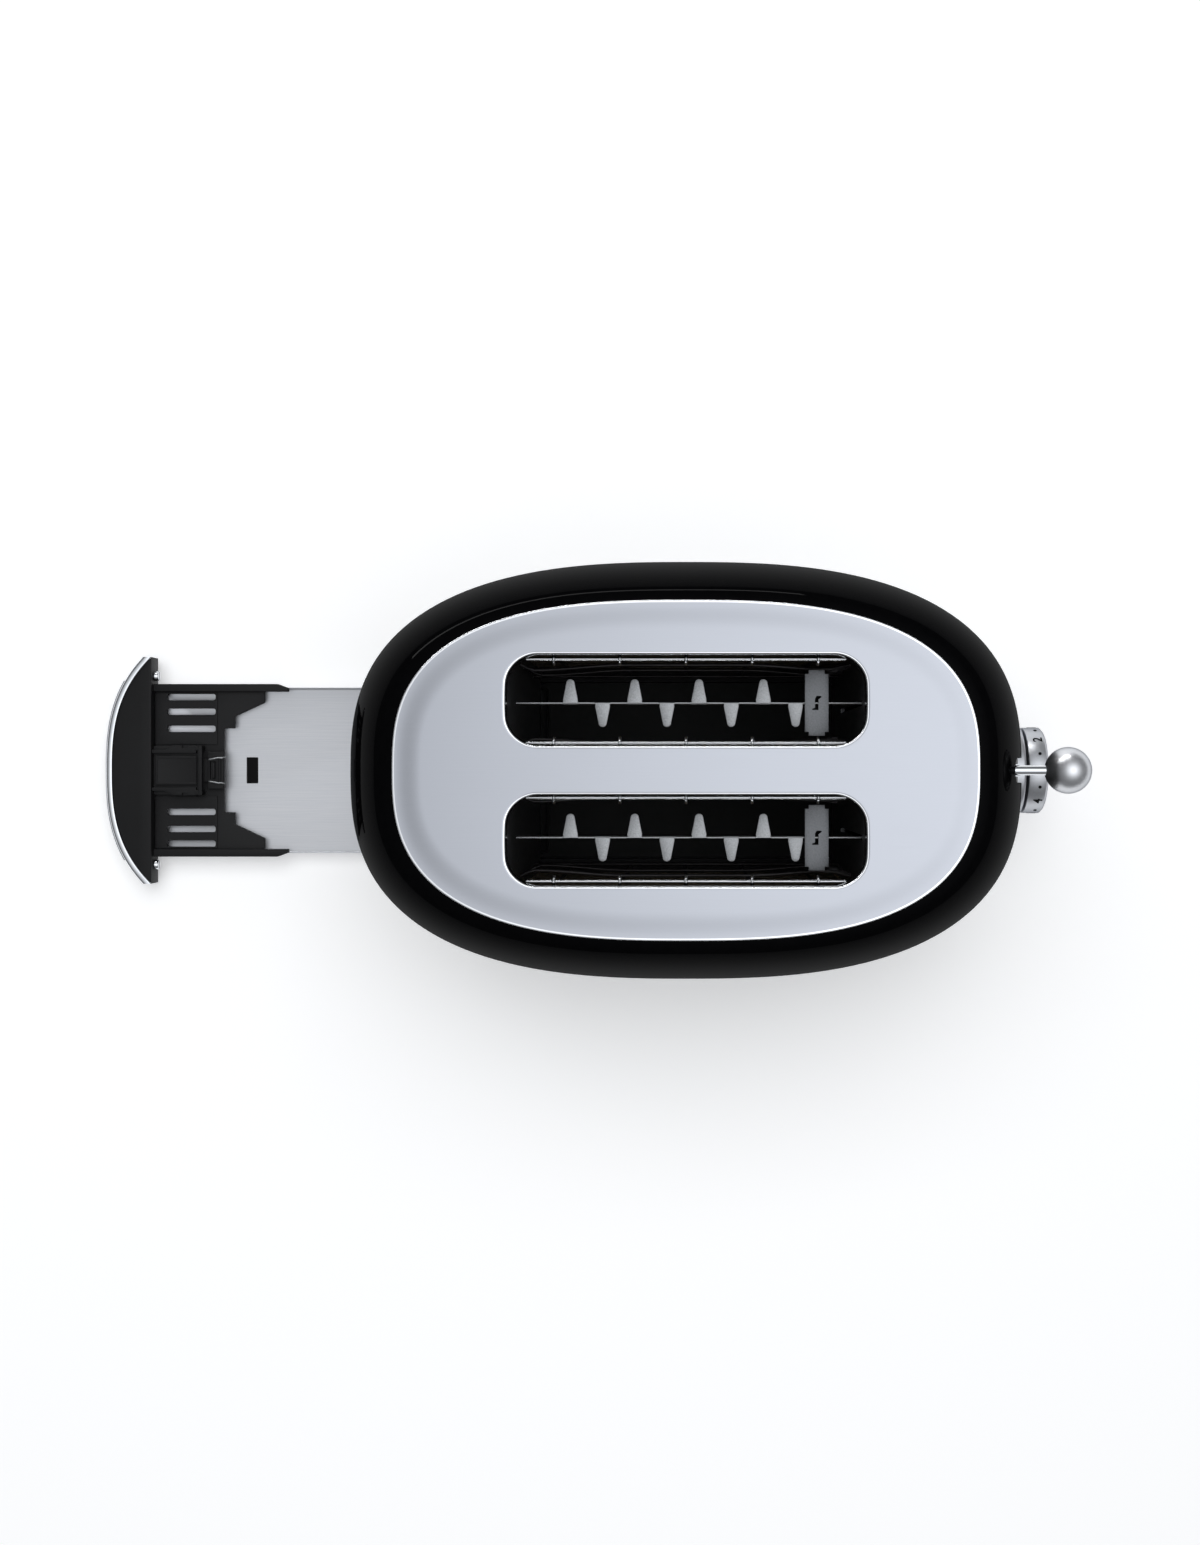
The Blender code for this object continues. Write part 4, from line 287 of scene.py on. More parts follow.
# Rolled nickel-chromium ribbon, oxidised by use: grey-brown metal.
RIBBON = Finish("nickel-chromium ribbon, rolled", "galvanised_sheet", "#4A4540", "#6B655E", 0.35, 0.5,
                metallic=0.9, pattern=Pattern.BRUSHED, pattern_mm=0.6, relief_mm=0.01)
# Tinned solder joints and pins: bright soft metal.
TIN = Finish("tin-lead solder, reflowed", "galvanised_sheet", "#A6A8AB", "#C4C6C9", 0.2, 0.35,
             metallic=1.0, pattern_mm=1.2, relief_mm=0.03)


def superellipse(half_x: float, half_y: float, power: float, z: float) -> Outline:
    """A closed squared oval at a height, in millimetres.

    Args:
        half_x: Half its length.
        half_y: Half its width.
        power: Two for an ellipse, more for squarer shoulders.
        z: Its height.

    Returns:
        Points at even angles, from +X round to +Y.
    """
    points = []
    for index in range(RING_SEGMENTS):
        angle = 2 * math.pi * index / RING_SEGMENTS
        across, along = math.cos(angle), math.sin(angle)
        reach = (abs(across) ** power + abs(along) ** power) ** (-1 / power)
        points.append(Vector((half_x * across * reach, half_y * along * reach, z)))
    return points


def circle(centre: Sequence[float], radius: float, axis: str, sides: int) -> Outline:
    """Points round an axis through a centre.

    Args:
        centre: The middle, in millimetres.
        radius: The circle's radius.
        axis: "X", "Y" or "Z".
        sides: How many points.

    Returns:
        The points in order.
    """
    points = []
    for index in range(sides):
        angle = 2 * math.pi * (index + 0.5) / sides
        across, along = radius * math.cos(angle), radius * math.sin(angle)
        offset = {"X": (0, across, along), "Y": (along, 0, across), "Z": (across, along, 0)}[axis]
        points.append(Vector(centre) + Vector(offset))
    return points


def rounded_rectangle(
    centre: Sequence[float], length: float, width: float, corner: float, z: float, steps: int = 6, bow: float = 0.0
) -> Outline:
    """A rectangle with round corners, whose ends may bow outwards, seen from above.

    Args:
        centre: X and Y of its middle.
        length: Its size along X, over the bows.
        width: Its size along Y.
        corner: The corner radius.
        z: Its height.
        steps: Points in each corner, less one.
        bow: How far the ends' middles stand beyond their corners.

    Returns:
        The points in order.
    """
    points = []
    half_x, half_y = length / 2 - bow, width / 2
    for quarter in range(4):
        sign_x = 1 if quarter in (0, 3) else -1
        sign_y = 1 if quarter in (0, 1) else -1
        for step in range(steps + 1):
            angle = math.pi / 2 * (quarter + step / steps)
            x = sign_x * (half_x - corner) + corner * math.cos(angle)
            points.append([x, sign_y * (half_y - corner) + corner * math.sin(angle)])
        if bow and quarter in (1, 3):
            for share in (0.75, 0.5, 0.25, 0, -0.25, -0.5, -0.75):
                points.append([sign_x * half_x, sign_y * share * (half_y - corner)])
    return [
        Vector((centre[0] + x + math.copysign(bow, x) * (1 - (y / half_y) ** 2) * (abs(x) > half_x - corner),
                centre[1] + y, z))
        for x, y in points
    ]


def arc_points(centre: tuple[float, float], radius: float, start: float, end: float, steps: int) -> list:
    """Points of an arc in a profile.

    Args:
        centre: The arc's middle.
        radius: Its radius.
        start: First angle in degrees.
        end: Last angle in degrees.
        steps: How many spans it has.

    Returns:
        Pairs of numbers, in order.
    """
    angles = [math.radians(start + (end - start) * step / steps) for step in range(steps + 1)]
    return [(centre[0] + radius * math.cos(a), centre[1] + radius * math.sin(a)) for a in angles]


class Shape:
    """A mesh in the making, in millimetres of the row frame."""

    def __init__(self) -> None:
        """Starts with nothing in it."""
        self.bm = bmesh.new()

    def skin(self, rings: Iterable[Outline], closed: bool = False, capped: bool = True) -> "Shape":
        """Skins a stack of point rings.

        Args:
            rings: Rings with equal numbers of points.
            closed: Whether the last ring joins the first.
            capped: Whether an open stack gets an end face at each end.

        Returns:
            This shape.
        """
        rows = [[self.bm.verts.new(point) for point in ring] for ring in rings]
        count = len(rows[0])
        pairs = list(zip(rows, rows[1:]))
        if closed:
            pairs.append((rows[-1], rows[0]))
        for lower, upper in pairs:
            for index in range(count):
                following = (index + 1) % count
                self.bm.faces.new((lower[index], lower[following], upper[following], upper[index]))
        if capped and not closed:
            self.bm.faces.new(rows[0][::-1])
            self.bm.faces.new(rows[-1])
        return self

    def extrude(self, outline: Outline, travel: Sequence[float]) -> "Shape":
        """Adds a solid whose flat outline is pulled along a vector."""
        return self.skin([outline, [point + Vector(travel) for point in outline]])

    def pad(self, outline: Outline, height: float, round_over: float, steps: int = 3) -> "Shape":
        """Adds a flat solid with round top and bottom edges.

        Args:
            outline: Its plan, in order, at its underside.
            height: Its thickness along +Z.
            round_over: The radius of its long edges.
            steps: Spans in each round.

        Returns:
            This shape.
        """
        middle = sum(outline, Vector()) / len(outline)
        area = sum(a.x * b.y - b.x * a.y for a, b in zip(outline, outline[1:] + outline[:1]))
        turn = 1 if area > 0 else -1
        inward = []
        for index, point in enumerate(outline):
            before, after = outline[index - 1], outline[(index + 1) % len(outline)]
            first, second = (point - before).normalized(), (after - point).normalized()
            normals = [Vector((-side.y, side.x, 0)) * turn for side in (first, second)]
            joint = normals[0] + normals[1]
            if joint.length < 1e-6:
                joint = middle - point
            share = max(joint.length_squared / 2, 0.5)
            inward.append(joint / share)
        rings = []
        for low in (True, False):
            for step in range(steps + 1):
                angle = math.pi / 2 * (step / steps if low else 1 - step / steps)
                inset = round_over * (1 - math.sin(angle))
                rise = round_over * (1 - math.cos(angle))
                z = rise if low else height - rise
                rings.append([p + side * inset + Vector((0, 0, z)) for p, side in zip(outline, inward)])
        return self.skin(rings)

    def box(self, low: Sequence[float], high: Sequence[float], round_over: float = 0.0) -> "Shape":
        """Adds a block between two corners.

        Args:
            low: The corner with the smallest coordinates.
            high: The opposite corner.
            round_over: The radius of its long edges; its upright corners are half as round again.

        Returns:
            This shape.
        """
        plan = [(low[0], low[1]), (high[0], low[1]), (high[0], high[1]), (low[0], high[1])]
        if not round_over:
            return self.extrude([Vector((x, y, low[2])) for x, y in plan], (0, 0, high[2] - low[2]))
        centre = ((low[0] + high[0]) / 2, (low[1] + high[1]) / 2)
        size = (high[0] - low[0], high[1] - low[1])
        outline = rounded_rectangle(centre, *size, round_over * 1.5, low[2], steps=3)
        return self.pad(outline, high[2] - low[2], round_over)

    def turn(
        self, profile: Profile, centre: Sequence[float], axis: str, closed: bool = False, sides: int = ROUND_SEGMENTS
    ) -> "Shape":
        """Turns a profile round an axis.

        Args:
            profile: Pairs of place along the axis and radius; a radius of zero closes an end.
            centre: The point that the places are counted from.
            axis: "X", "Y" or "Z".
            closed: Whether the profile's last point joins its first.
            sides: Points round the axis.

        Returns:
            This shape.
        """
        unit = Vector((axis == "X", axis == "Y", axis == "Z"))
        rows = []
        for place, radius in profile:
            ring = circle(Vector(centre) + unit * place, radius, axis, sides) if radius > 0 else None
            rows.append([self.bm.verts.new(p) for p in ring or [Vector(centre) + unit * place]])
        pairs = list(zip(rows, rows[1:]))
        if closed:
            pairs.append((rows[-1], rows[0]))
        for lower, upper in pairs:
            for index in range(sides):
                following = (index + 1) % sides
                if len(lower) == 1:
                    self.bm.faces.new((lower[0], upper[following], upper[index]))
                elif len(upper) == 1:
                    self.bm.faces.new((lower[index], lower[following], upper[0]))
                else:
                    self.bm.faces.new((lower[index], lower[following], upper[following], upper[index]))
        return self

    def rod(self, start: Sequence[float], end: Sequence[float], radius: float, sides: int = WIRE_SIDES) -> "Shape":
        """Adds a straight round bar between two points."""
        return self.wire([Vector(start), Vector(end)], radius, sides)

    def wire(self, points: Outline, radius: float, sides: int = WIRE_SIDES) -> "Shape":
        """Adds a round wire through points.

        Args:
            points: Its centre line.
            radius: Its radius.
            sides: Points round it.

        Returns:
            This shape.
        """
        rings = []
        normal = None
        for index, point in enumerate(points):
            after = points[min(index + 1, len(points) - 1)]
            tangent = (after - points[max(index - 1, 0)]).normalized()
            if normal is None:
                helper = Vector((0, 0, 1)) if abs(tangent.z) < 0.9 else Vector((1, 0, 0))
                normal = tangent.cross(helper)
            normal = (normal - tangent * normal.dot(tangent)).normalized()
            side = tangent.cross(normal)
            turns = [2 * math.pi * step / sides for step in range(sides)]
            rings.append([point + radius * (math.cos(a) * normal + math.sin(a) * side) for a in turns])
        return self.skin(rings)

    def carve(self, tool: "Shape", operation: str = "DIFFERENCE") -> "Shape":
        """Cuts, joins or intersects this shape with another, which is used up.

        Args:
            tool: The other shape.
            operation: Blender's name for the Boolean.

        Returns:
            This shape.
        """
        objects = []
        for shape in (self, tool):
            bmesh.ops.recalc_face_normals(shape.bm, faces=shape.bm.faces)
            mesh = bpy.data.meshes.new("carving")
            shape.bm.to_mesh(mesh)
            shape.bm.free()
            objects.append(bpy.data.objects.new("carving", mesh))
            bpy.context.collection.objects.link(objects[-1])
        modifier = objects[0].modifiers.new("carving", "BOOLEAN")
        modifier.operation = operation
        modifier.solver = "EXACT"
        modifier.object = objects[1]
        bpy.context.view_layer.update()
        result = objects[0].evaluated_get(bpy.context.evaluated_depsgraph_get()).to_mesh()
        self.bm = bmesh.new()
        self.bm.from_mesh(result)
        objects[0].evaluated_get(bpy.context.evaluated_depsgraph_get()).to_mesh_clear()
        for made in objects:
            mesh = made.data
            bpy.data.objects.remove(made, do_unlink=True)
            bpy.data.meshes.remove(mesh)
        return self

    def piece(
        self, name: str, finish: Finish, body: str = "root", replaces: Sequence[str] = (), sharp: float = 35.0
    ) -> bpy.types.Object:
        """Turns the shape into a finished piece of the toaster.

        Args:
            name: The piece's name.
            finish: What it is made of.
            body: The moving body that carries it.
            replaces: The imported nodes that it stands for.
            sharp: Edges with a larger angle than this stay sharp, in degrees.

        Returns:
            The new object.
        """
        bmesh.ops.recalc_face_normals(self.bm, faces=self.bm.faces)
        bmesh.ops.scale(self.bm, vec=Vector((MM, MM, MM)), verts=self.bm.verts)
        mesh = bpy.data.meshes.new(name)
        self.bm.to_mesh(mesh)
        self.bm.free()
        mesh.shade_smooth()
        mesh.set_sharp_from_angle(angle=math.radians(sharp))
        made = bpy.data.objects.new(name, mesh)
        bpy.context.collection.objects.link(made)
        mesh.materials.append(finish.build())
        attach(made, body)
        if replaces:
            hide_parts(*replaces)
        LOG.info("%s on %s: %s, %d faces", name, body, finish.name, len(mesh.polygons))
        return made


@dataclass
class BodyForm:
    """The outlines that the shell, the base and the tray's front share, in millimetres."""

    half_length: float = 153.0
    half_width: float = 96.0
    power: float = 2.64
    waist: float = 65.0
    crown: float = 187.0
    bottom: float = 16.3
    base_inset: float = 4.0
    plate_length: float = 119.7
    plate_width: float = 69.4
    plate_power: float = 2.74
    fit: float = 0.3
    least_rise: float = 0.2

    def ring(self, z: float, grow: float) -> Outline:
        """The body's outline at a height.

        Args:
            z: The height.
            grow: How far it stands outside the shell's outer face.

        Returns:
            The outline's points.
        """
        if z < self.waist:
            inset = self.base_inset * ((self.waist - z) / (self.waist - self.bottom)) ** 2
            return superellipse(self.half_length - inset + grow, self.half_width - inset + grow, self.power, z)
        rise = min((z - self.waist) / (self.crown - self.waist + grow), 1)
        lean = 1 - math.sqrt(1 - rise * rise)
        half_x = self.half_length + grow - lean * (self.half_length - self.plate_length - self.fit)
        half_y = self.half_width + grow - lean * (self.half_width - self.plate_width - self.fit)
        return superellipse(half_x, half_y, self.power + lean * (self.plate_power - self.power), z)

    def heights(self, top: float, steps: int = 30) -> list[float]:
        """Heights for the body's rings, closer together towards the crown.

        Args:
            top: The last height.
            steps: Spans between the waist and the crown.

        Returns:
            The heights, rising.
        """
        low_steps = 8
        low = [self.bottom + (self.waist - self.bottom) * step / low_steps for step in range(low_steps + 1)]
        rise = self.crown - self.waist
        high = [self.waist + rise * math.sin(math.pi / 2 * step / steps) for step in range(1, steps + 1)]
        return [z for z in low + high if z < top - self.least_rise] + [top]

    def front_arc(self, inset: float, half_width: float, z: float, steps: int = 56) -> Outline:
        """The base's outline round the drawn-out tray front.

        Args:
            inset: How far it lies inside the base's face.
            half_width: How far it runs to each side.
            z: Its height.
            steps: How many spans it has.

        Returns:
            The points, from -Y to +Y.
        """
        half_x = self.half_length - self.base_inset - inset
        half_y = self.half_width - self.base_inset - inset
        points = []
        for step in range(steps + 1):
            y = half_width * (2 * step / steps - 1)
            x = -half_x * (1 - (abs(y) / half_y) ** self.power) ** (1 / self.power)
            points.append(Vector((x + TRAY_SHIFT, y, z)))
        return points


@dataclass
class BodyShell:
    """The enamelled body with the lever slot and the holes for the dial and the buttons.

    The hem is its rounded lower edge, as pairs of rise and inset.
    """

    form: BodyForm
    wall: float = 1.2
    ledge: float = 5.0
    ledge_top: float = 186.5
    slot_width: float = 11.0
    slot_low: float = 74.0
    slot_high: float = 168.0
    dial_z: float = 45.0
    dial_hole: float = 5.0
    button_hole: float = 4.8
    button_y: float = 36.0
    button_z: tuple[float, float] = (38.0, 56.0)
    cut_start: float = 133.0
    cut_depth: float = 24.0
    hem: tuple[tuple[float, float], ...] = ((0.0, 0.5), (0.15, 0.15))
    hem_height: float = 0.6
    crown_edge: float = 0.15

    def build(self) -> None:
        """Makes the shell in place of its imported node."""
        form = self.form
        rings = [form.ring(form.bottom + rise, -inset) for rise, inset in self.hem]
        rings += [form.ring(max(z, form.bottom + self.hem_height), 0) for z in form.heights(form.crown)]
        opening_x, opening_y = form.plate_length + form.fit, form.plate_width + form.fit
        rings.append(superellipse(opening_x, opening_y, form.plate_power, form.crown - self.crown_edge))
        rings.append(superellipse(opening_x, opening_y, form.plate_power, self.ledge_top))
        for z in (self.ledge_top, self.ledge_top - self.wall):
            rings.append(superellipse(opening_x - self.ledge, opening_y - self.ledge, form.plate_power, z))
        rings += [form.ring(z, -self.wall) for z in reversed(form.heights(self.ledge_top - self.wall))]
        shape = Shape().skin(rings, closed=True)
        shape.carve(self.openings()).piece("enamelled_shell", ENAMEL, replaces=["body_shell"])

    def openings(self) -> Shape:
        """The tool that cuts the slot and the round holes in the +X end.

        Returns:
            Its solid, which stands through the shell's wall.
        """
        tool = Shape()
        radius = self.slot_width / 2
        upper = arc_points((0, self.slot_high - radius), radius, 0, 180, 12)
        lower = arc_points((0, self.slot_low + radius), radius, 180, 360, 12)
        tool.extrude([Vector((self.cut_start, y, z)) for y, z in upper + lower], (self.cut_depth, 0, 0))
        ends = [(self.cut_start, 0), (self.cut_start + self.cut_depth, 0)]
        holes = [(0, self.dial_z, self.dial_hole)]
        holes += [(side * self.button_y, z, self.button_hole) for side in (-1, 1) for z in self.button_z]
        for y, z, hole in holes:
            profile = [ends[0], (ends[0][0], hole), (ends[1][0], hole), ends[1]]
            tool.turn(profile, (0, y, z), "X", sides=32)
        return tool


@dataclass
class TopPlate:
    """The satin plate with its rolled rim and two lipped bread slots.

    The neck is where a lip bends down from the underside, as pairs of growth and drop. The skirt is how far the level
    rings lie outside a lip. The under edge is the rim's lower corner, as pairs of inset and rise.
    """

    form: BodyForm
    field: float = 187.95
    edge: float = 187.38
    underside: float = 186.8
    roll: float = 0.45
    flat: float = 1.0
    border: float = 12.0
    slot_length: float = 147.0
    slot_width: float = 37.3
    slot_y: float = 28.6
    corner: float = 12.0
    lip_bottom: float = 180.6
    lip_wall: float = 0.8
    lip_round: float = 0.6
    lip_flat: float = 0.25
    lip_sunk: float = 0.05
    lip_drop: float = 0.7
    lip_neck: tuple[tuple[float, float], ...] = ((1.9, 0.0), (1.2, 0.2))
    lip_skirt: tuple[float, ...] = (0.1, 0.6, 1.2)
    lip_reach: float = 2.0
    under_edge: tuple[tuple[float, float], ...] = ((0.5, 0.0), (0.1, 0.1))
    crown_steps: int = 12
    end_bow: float = 1.2

    def outline(self, inset: float, z: float) -> Outline:
        """The plate's edge, moved inwards."""
        form = self.form
        return superellipse(form.plate_length - inset, form.plate_width - inset, form.plate_power, z)

    def slot(self, side: int, grow: float, z: float) -> Outline:
        """A bread slot's outline, grown outwards."""
        size = (self.slot_length + 2 * grow, self.slot_width + 2 * grow)
        return rounded_rectangle((0, side * self.slot_y), *size, self.corner + grow, z, steps=12, bow=self.end_bow)

    def add_rows(self, bm: bmesh.types.BMesh, rings: list[Outline]) -> tuple[list, list]:
        """Skins rings that stay open at both ends.

        Args:
            bm: The mesh they go into.
            rings: The rings, in order.

        Returns:
            The edges of the first ring, and those of the last.
        """
        rows = [[bm.verts.new(point) for point in ring] for ring in rings]
        count = len(rows[0])
        for lower, upper in zip(rows, rows[1:]):
            for index in range(count):
                following = (index + 1) % count
                bm.faces.new((lower[index], lower[following], upper[following], upper[index]))
        pairs = [[bm.edges.get((row[i], row[(i + 1) % count])) for i in range(count)] for row in (rows[0], rows[-1])]
        return pairs[0], pairs[1]

    def build(self) -> None:
        """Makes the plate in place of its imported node."""
        shape = Shape()
        below, above = self.add_rows(shape.bm, [self.outline(inset, z) for inset, z in self.rim_section()])
        lip = self.lip_section()
        for side in (-1, 1):
            low, high = self.add_rows(shape.bm, [self.slot(side, grow, z) for grow, z in lip])
            below, above = below + low, above + high
        for edges in (below, above):
            bmesh.ops.triangle_fill(shape.bm, use_beauty=True, use_dissolve=False, edges=edges)
        plate = shape.piece("satin_top_plate", SATIN, replaces=["top_plate"], sharp=50)
        self.buff_edges(plate)

    def rim_section(self) -> list[tuple[float, float]]:
        """The rim's section, from the underside round the rolled edge to the level field.

        Returns:
            Pairs of inset and height.
        """
        rim = [(self.border, self.underside)]
        rim += [(inset, self.underside + rise) for inset, rise in self.under_edge]
        rim += [(self.roll * (1 - math.cos(a)), self.edge - self.roll * (1 - math.sin(a))) for a in QUARTER_TURN]
        for step in range(self.crown_steps + 1):
            share = step / self.crown_steps
            lift = (1 - math.cos(math.pi * share)) / 2
            rim.append((self.flat + (self.border - self.flat) * share, self.edge + (self.field - self.edge) * lift))
        return rim

    def lip_section(self) -> list[tuple[float, float]]:
        """A lip's section, from the underside round the slot's wall to the field.

        Returns:
            Pairs of growth and height; the last rings are level, so that the field's shading stays flat.
        """
        bend, level = self.lip_round, self.field - self.lip_sunk
        lip = [(grow, self.underside - drop) for grow, drop in self.lip_neck]
        lip += [(self.lip_wall, self.underside - self.lip_drop), (self.lip_wall, self.lip_bottom)]
        lip += [(0, self.lip_bottom), (0, level - bend)]
        lip += [(bend * (1 - math.cos(a)), level - bend * (1 - math.sin(a))) for a in QUARTER_TURN[1:]]
        outer = bend + self.lip_flat
        return lip + [(outer, level)] + [(outer + grow, self.field) for grow in self.lip_skirt]

    def buff_edges(self, plate: bpy.types.Object) -> None:
        """Gives the rolled rim and the slots' lips their buffed finish, whose lighter colour is partly a painted
        highlight.

        Args:
            plate: The finished plate.
        """
        # The rim and the lips take a lighter copy of the plate's steel: partly painted highlight.
        plate.data.materials.append(BUFFED_AND_HIGHLIT.build())
        form = self.form
        half_x, half_y = form.plate_length - self.flat, form.plate_width - self.flat
        for face in plate.data.polygons:
            x, y, z = face.center / MM
            reach = (abs(x) / half_x) ** form.plate_power + (abs(y) / half_y) ** form.plate_power
            by_slot = (abs(x) < self.slot_length / 2 + self.lip_reach
                       and abs(abs(y) - self.slot_y) < self.slot_width / 2 + self.lip_reach)
            if reach > 1 or (by_slot and z < self.field - 0.6 * self.lip_sunk):
                face.material_index = 1


@dataclass
class BaseSection:
    """The chrome band round the base, with the feet under it.

    The dimple in a foot's sole is pairs of rise and radius, and its seat is where its shoulder and its top lie.
    """

    form: BodyForm
    low: float = 0.8
    high: float = 16.0
    wall: float = 1.5
    edge: float = 0.9
    gap: float = 58.3
    foot_x: float = 100.0
    foot_y: float = 55.0
    foot_radius: float = 8.0
    foot_height: float = 5.0
    foot_dimple: tuple[tuple[float, float], ...] = ((1.2, 0.0), (1.2, 2.6), (0.2, 3.2), (0.0, 3.6))
    foot_taper: float = 1.7
    foot_edge: float = 0.8
    foot_seat: tuple[float, float] = (-1.0, -0.3)

    def band_ring(self, inset: float, z: float, steps: int = 150) -> Outline:
        """The band's line from one side of the tray gap round to the other.

        Args:
            inset: How far it lies inside the base's face.
            z: Its height.
            steps: How many spans it has.

        Returns:
            The points in order.
        """
        form = self.form
        half_x, half_y = form.half_length - form.base_inset - inset, form.half_width - form.base_inset - inset
        x_gap = half_x * (1 - (self.gap / half_y) ** form.power) ** (1 / form.power)
        start = math.atan2(self.gap / half_y, -x_gap / half_x)
        points = []
        for step in range(steps + 1):
            angle = start - 2 * start * step / steps
            across, along = math.cos(angle), math.sin(angle)
            reach = (abs(across) ** form.power + abs(along) ** form.power) ** (-1 / form.power)
            points.append(Vector((half_x * across * reach, half_y * along * reach, z)))
        return points

    def build(self) -> None:
        """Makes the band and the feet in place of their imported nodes."""
        edge = self.edge
        section = arc_points((edge, self.high - edge), edge, 180, 90, 4)
        section += [(self.wall, self.high), (self.wall, self.low)]
        section += arc_points((edge, self.low + edge), edge, 270, 180, 4)
        lines = [self.band_ring(inset, z) for inset, z in section]
        Shape().skin([list(ring) for ring in zip(*lines)]).piece("chrome_base_band", CHROME, replaces=["base_band"])
        profile = [(rise - self.foot_height, radius) for rise, radius in self.foot_dimple]
        sole = self.foot_radius - self.foot_taper
        profile.append((-self.foot_height, sole))
        profile += arc_points((self.foot_edge - self.foot_height, sole), self.foot_edge, 180, 90, 4)[1:]
        shoulder, seat = self.foot_seat
        profile += [(shoulder, self.foot_radius), (seat, self.foot_radius), (seat, 0)]
        places = [(x * self.foot_x, y * self.foot_y, 0) for x in (-1, 1) for y in (-1, 1)]
        for number, place in enumerate(places, start=1):
            Shape().turn(profile, place, "Z").piece(f"rubber_foot_{number}", RUBBER, replaces=[f"foot_{number}"])


@dataclass
class GuideGrids:
    """The four wire guides that close on the slices."""

    half_length: float = 66.0
    pivot_half: float = 76.2
    pivot_z: float = 50.0
    top_z: float = 176.0
    bar_shares: tuple[float, ...] = (0.4, 0.7)
    bar_radius: float = 0.8
    stay_radius: float = 0.7
    stay_offset: float = 1.4
    stay_pitch: float = 27.3
    end_bend: float = 2.3
    bend_start: float = 26.0
    bar_steps: int = 28
    hook_reach: float = 6.0
    hook_out: float = 0.2
    hook_lean: float = 0.7
    stay_foot: float = 1.2
    stay_crest: float = 1.5
    stay_tail: tuple[float, float] = (2.2, 0.6)
    # Below this height the grids' wire takes its darkened copy: painted shade deep in the slots.
    tinted_below: float = 150.0
    places: tuple[tuple[str, float, int], ...] = (
        ("left_outer", -45.95, -1), ("left_inner", -11.25, 1), ("right_inner", 11.25, -1), ("right_outer", 45.95, 1),
    )

    def bowed_bar(self, y: float, outward: int, z: float) -> Outline:
        """A bar whose ends lean in towards the slice and hook back out at their tips.

        Args:
            y: The grid's place across the toaster.
            outward: Minus one or plus one, the side away from the slice.
            z: The bar's height.

        Returns:
            Its centre line.
        """
        points = []
        for step in range(self.bar_steps + 1):
            x = self.half_length * (2 * step / self.bar_steps - 1)
            share = max(0.0, (abs(x) - self.bend_start) / (self.half_length - self.bend_start))
            points.append(Vector((x, y - outward * self.end_bend * share * share * (3 - 2 * share), z)))
        tip = y + outward * self.hook_out
        lean = tip - outward * self.end_bend * self.hook_lean
        for end, side in ((0, -1), (len(points), 1)):
            hook = [Vector((side * (self.half_length + self.hook_reach), tip, z)),
                    Vector((side * (self.half_length + self.hook_reach / 2), lean, z))]
            points[end:end] = hook if side < 0 else hook[::-1]
        return points

    def build(self) -> None:
        """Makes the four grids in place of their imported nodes."""
        for name, y, outward in self.places:
            shape = Shape()
            pivot = [(side * self.pivot_half, y, self.pivot_z) for side in (-1, 1)]
            shape.rod(*pivot, self.bar_radius)
            shape.rod((-self.half_length, y, self.top_z), (self.half_length, y, self.top_z), self.bar_radius)
            for share in self.bar_shares:
                z = self.pivot_z + share * (self.top_z - self.pivot_z)
                shape.wire(self.bowed_bar(y, outward, z), self.bar_radius)
            for index in range(-2, 3):
                shape.wire(self.stay(index * self.stay_pitch, y, outward), self.stay_radius)
            grid = f"guide_grid_{name}"
            made = shape.piece(f"wire_{grid}", WIRE, f"grid_{name}", [grid], sharp=60)
            # The lower wire takes the darkened copy of the wire: painted shade deep in the slots.
            made.data.materials.append(SLOT_SHADE_WIRE.build())
            for face in made.data.polygons:
                if face.center.z / MM < self.tinted_below:
                    face.material_index = 1

    def stay(self, x: float, y: float, outward: int) -> Outline:
        """An upright wire that hooks over the top bar.

        Args:
            x: Its place along the toaster.
            y: The grid's place across it.
            outward: Minus one or plus one, the side away from the slice.

        Returns:
            Its centre line.
        """
        back, top = y + outward * self.stay_offset, self.top_z
        points = [Vector((x, back, z)) for z in (self.pivot_z - self.stay_foot, top - 2, top)]
        for angle in (30, 60, 90, 120, 150):
            turn = math.radians(angle)
            over = y + outward * self.stay_offset * math.cos(turn)
            points.append(Vector((x, over, top + self.stay_crest * math.sin(turn))))
        inward, drop = self.stay_tail
        points.append(Vector((x, y - outward * inward, top - drop)))
        return points


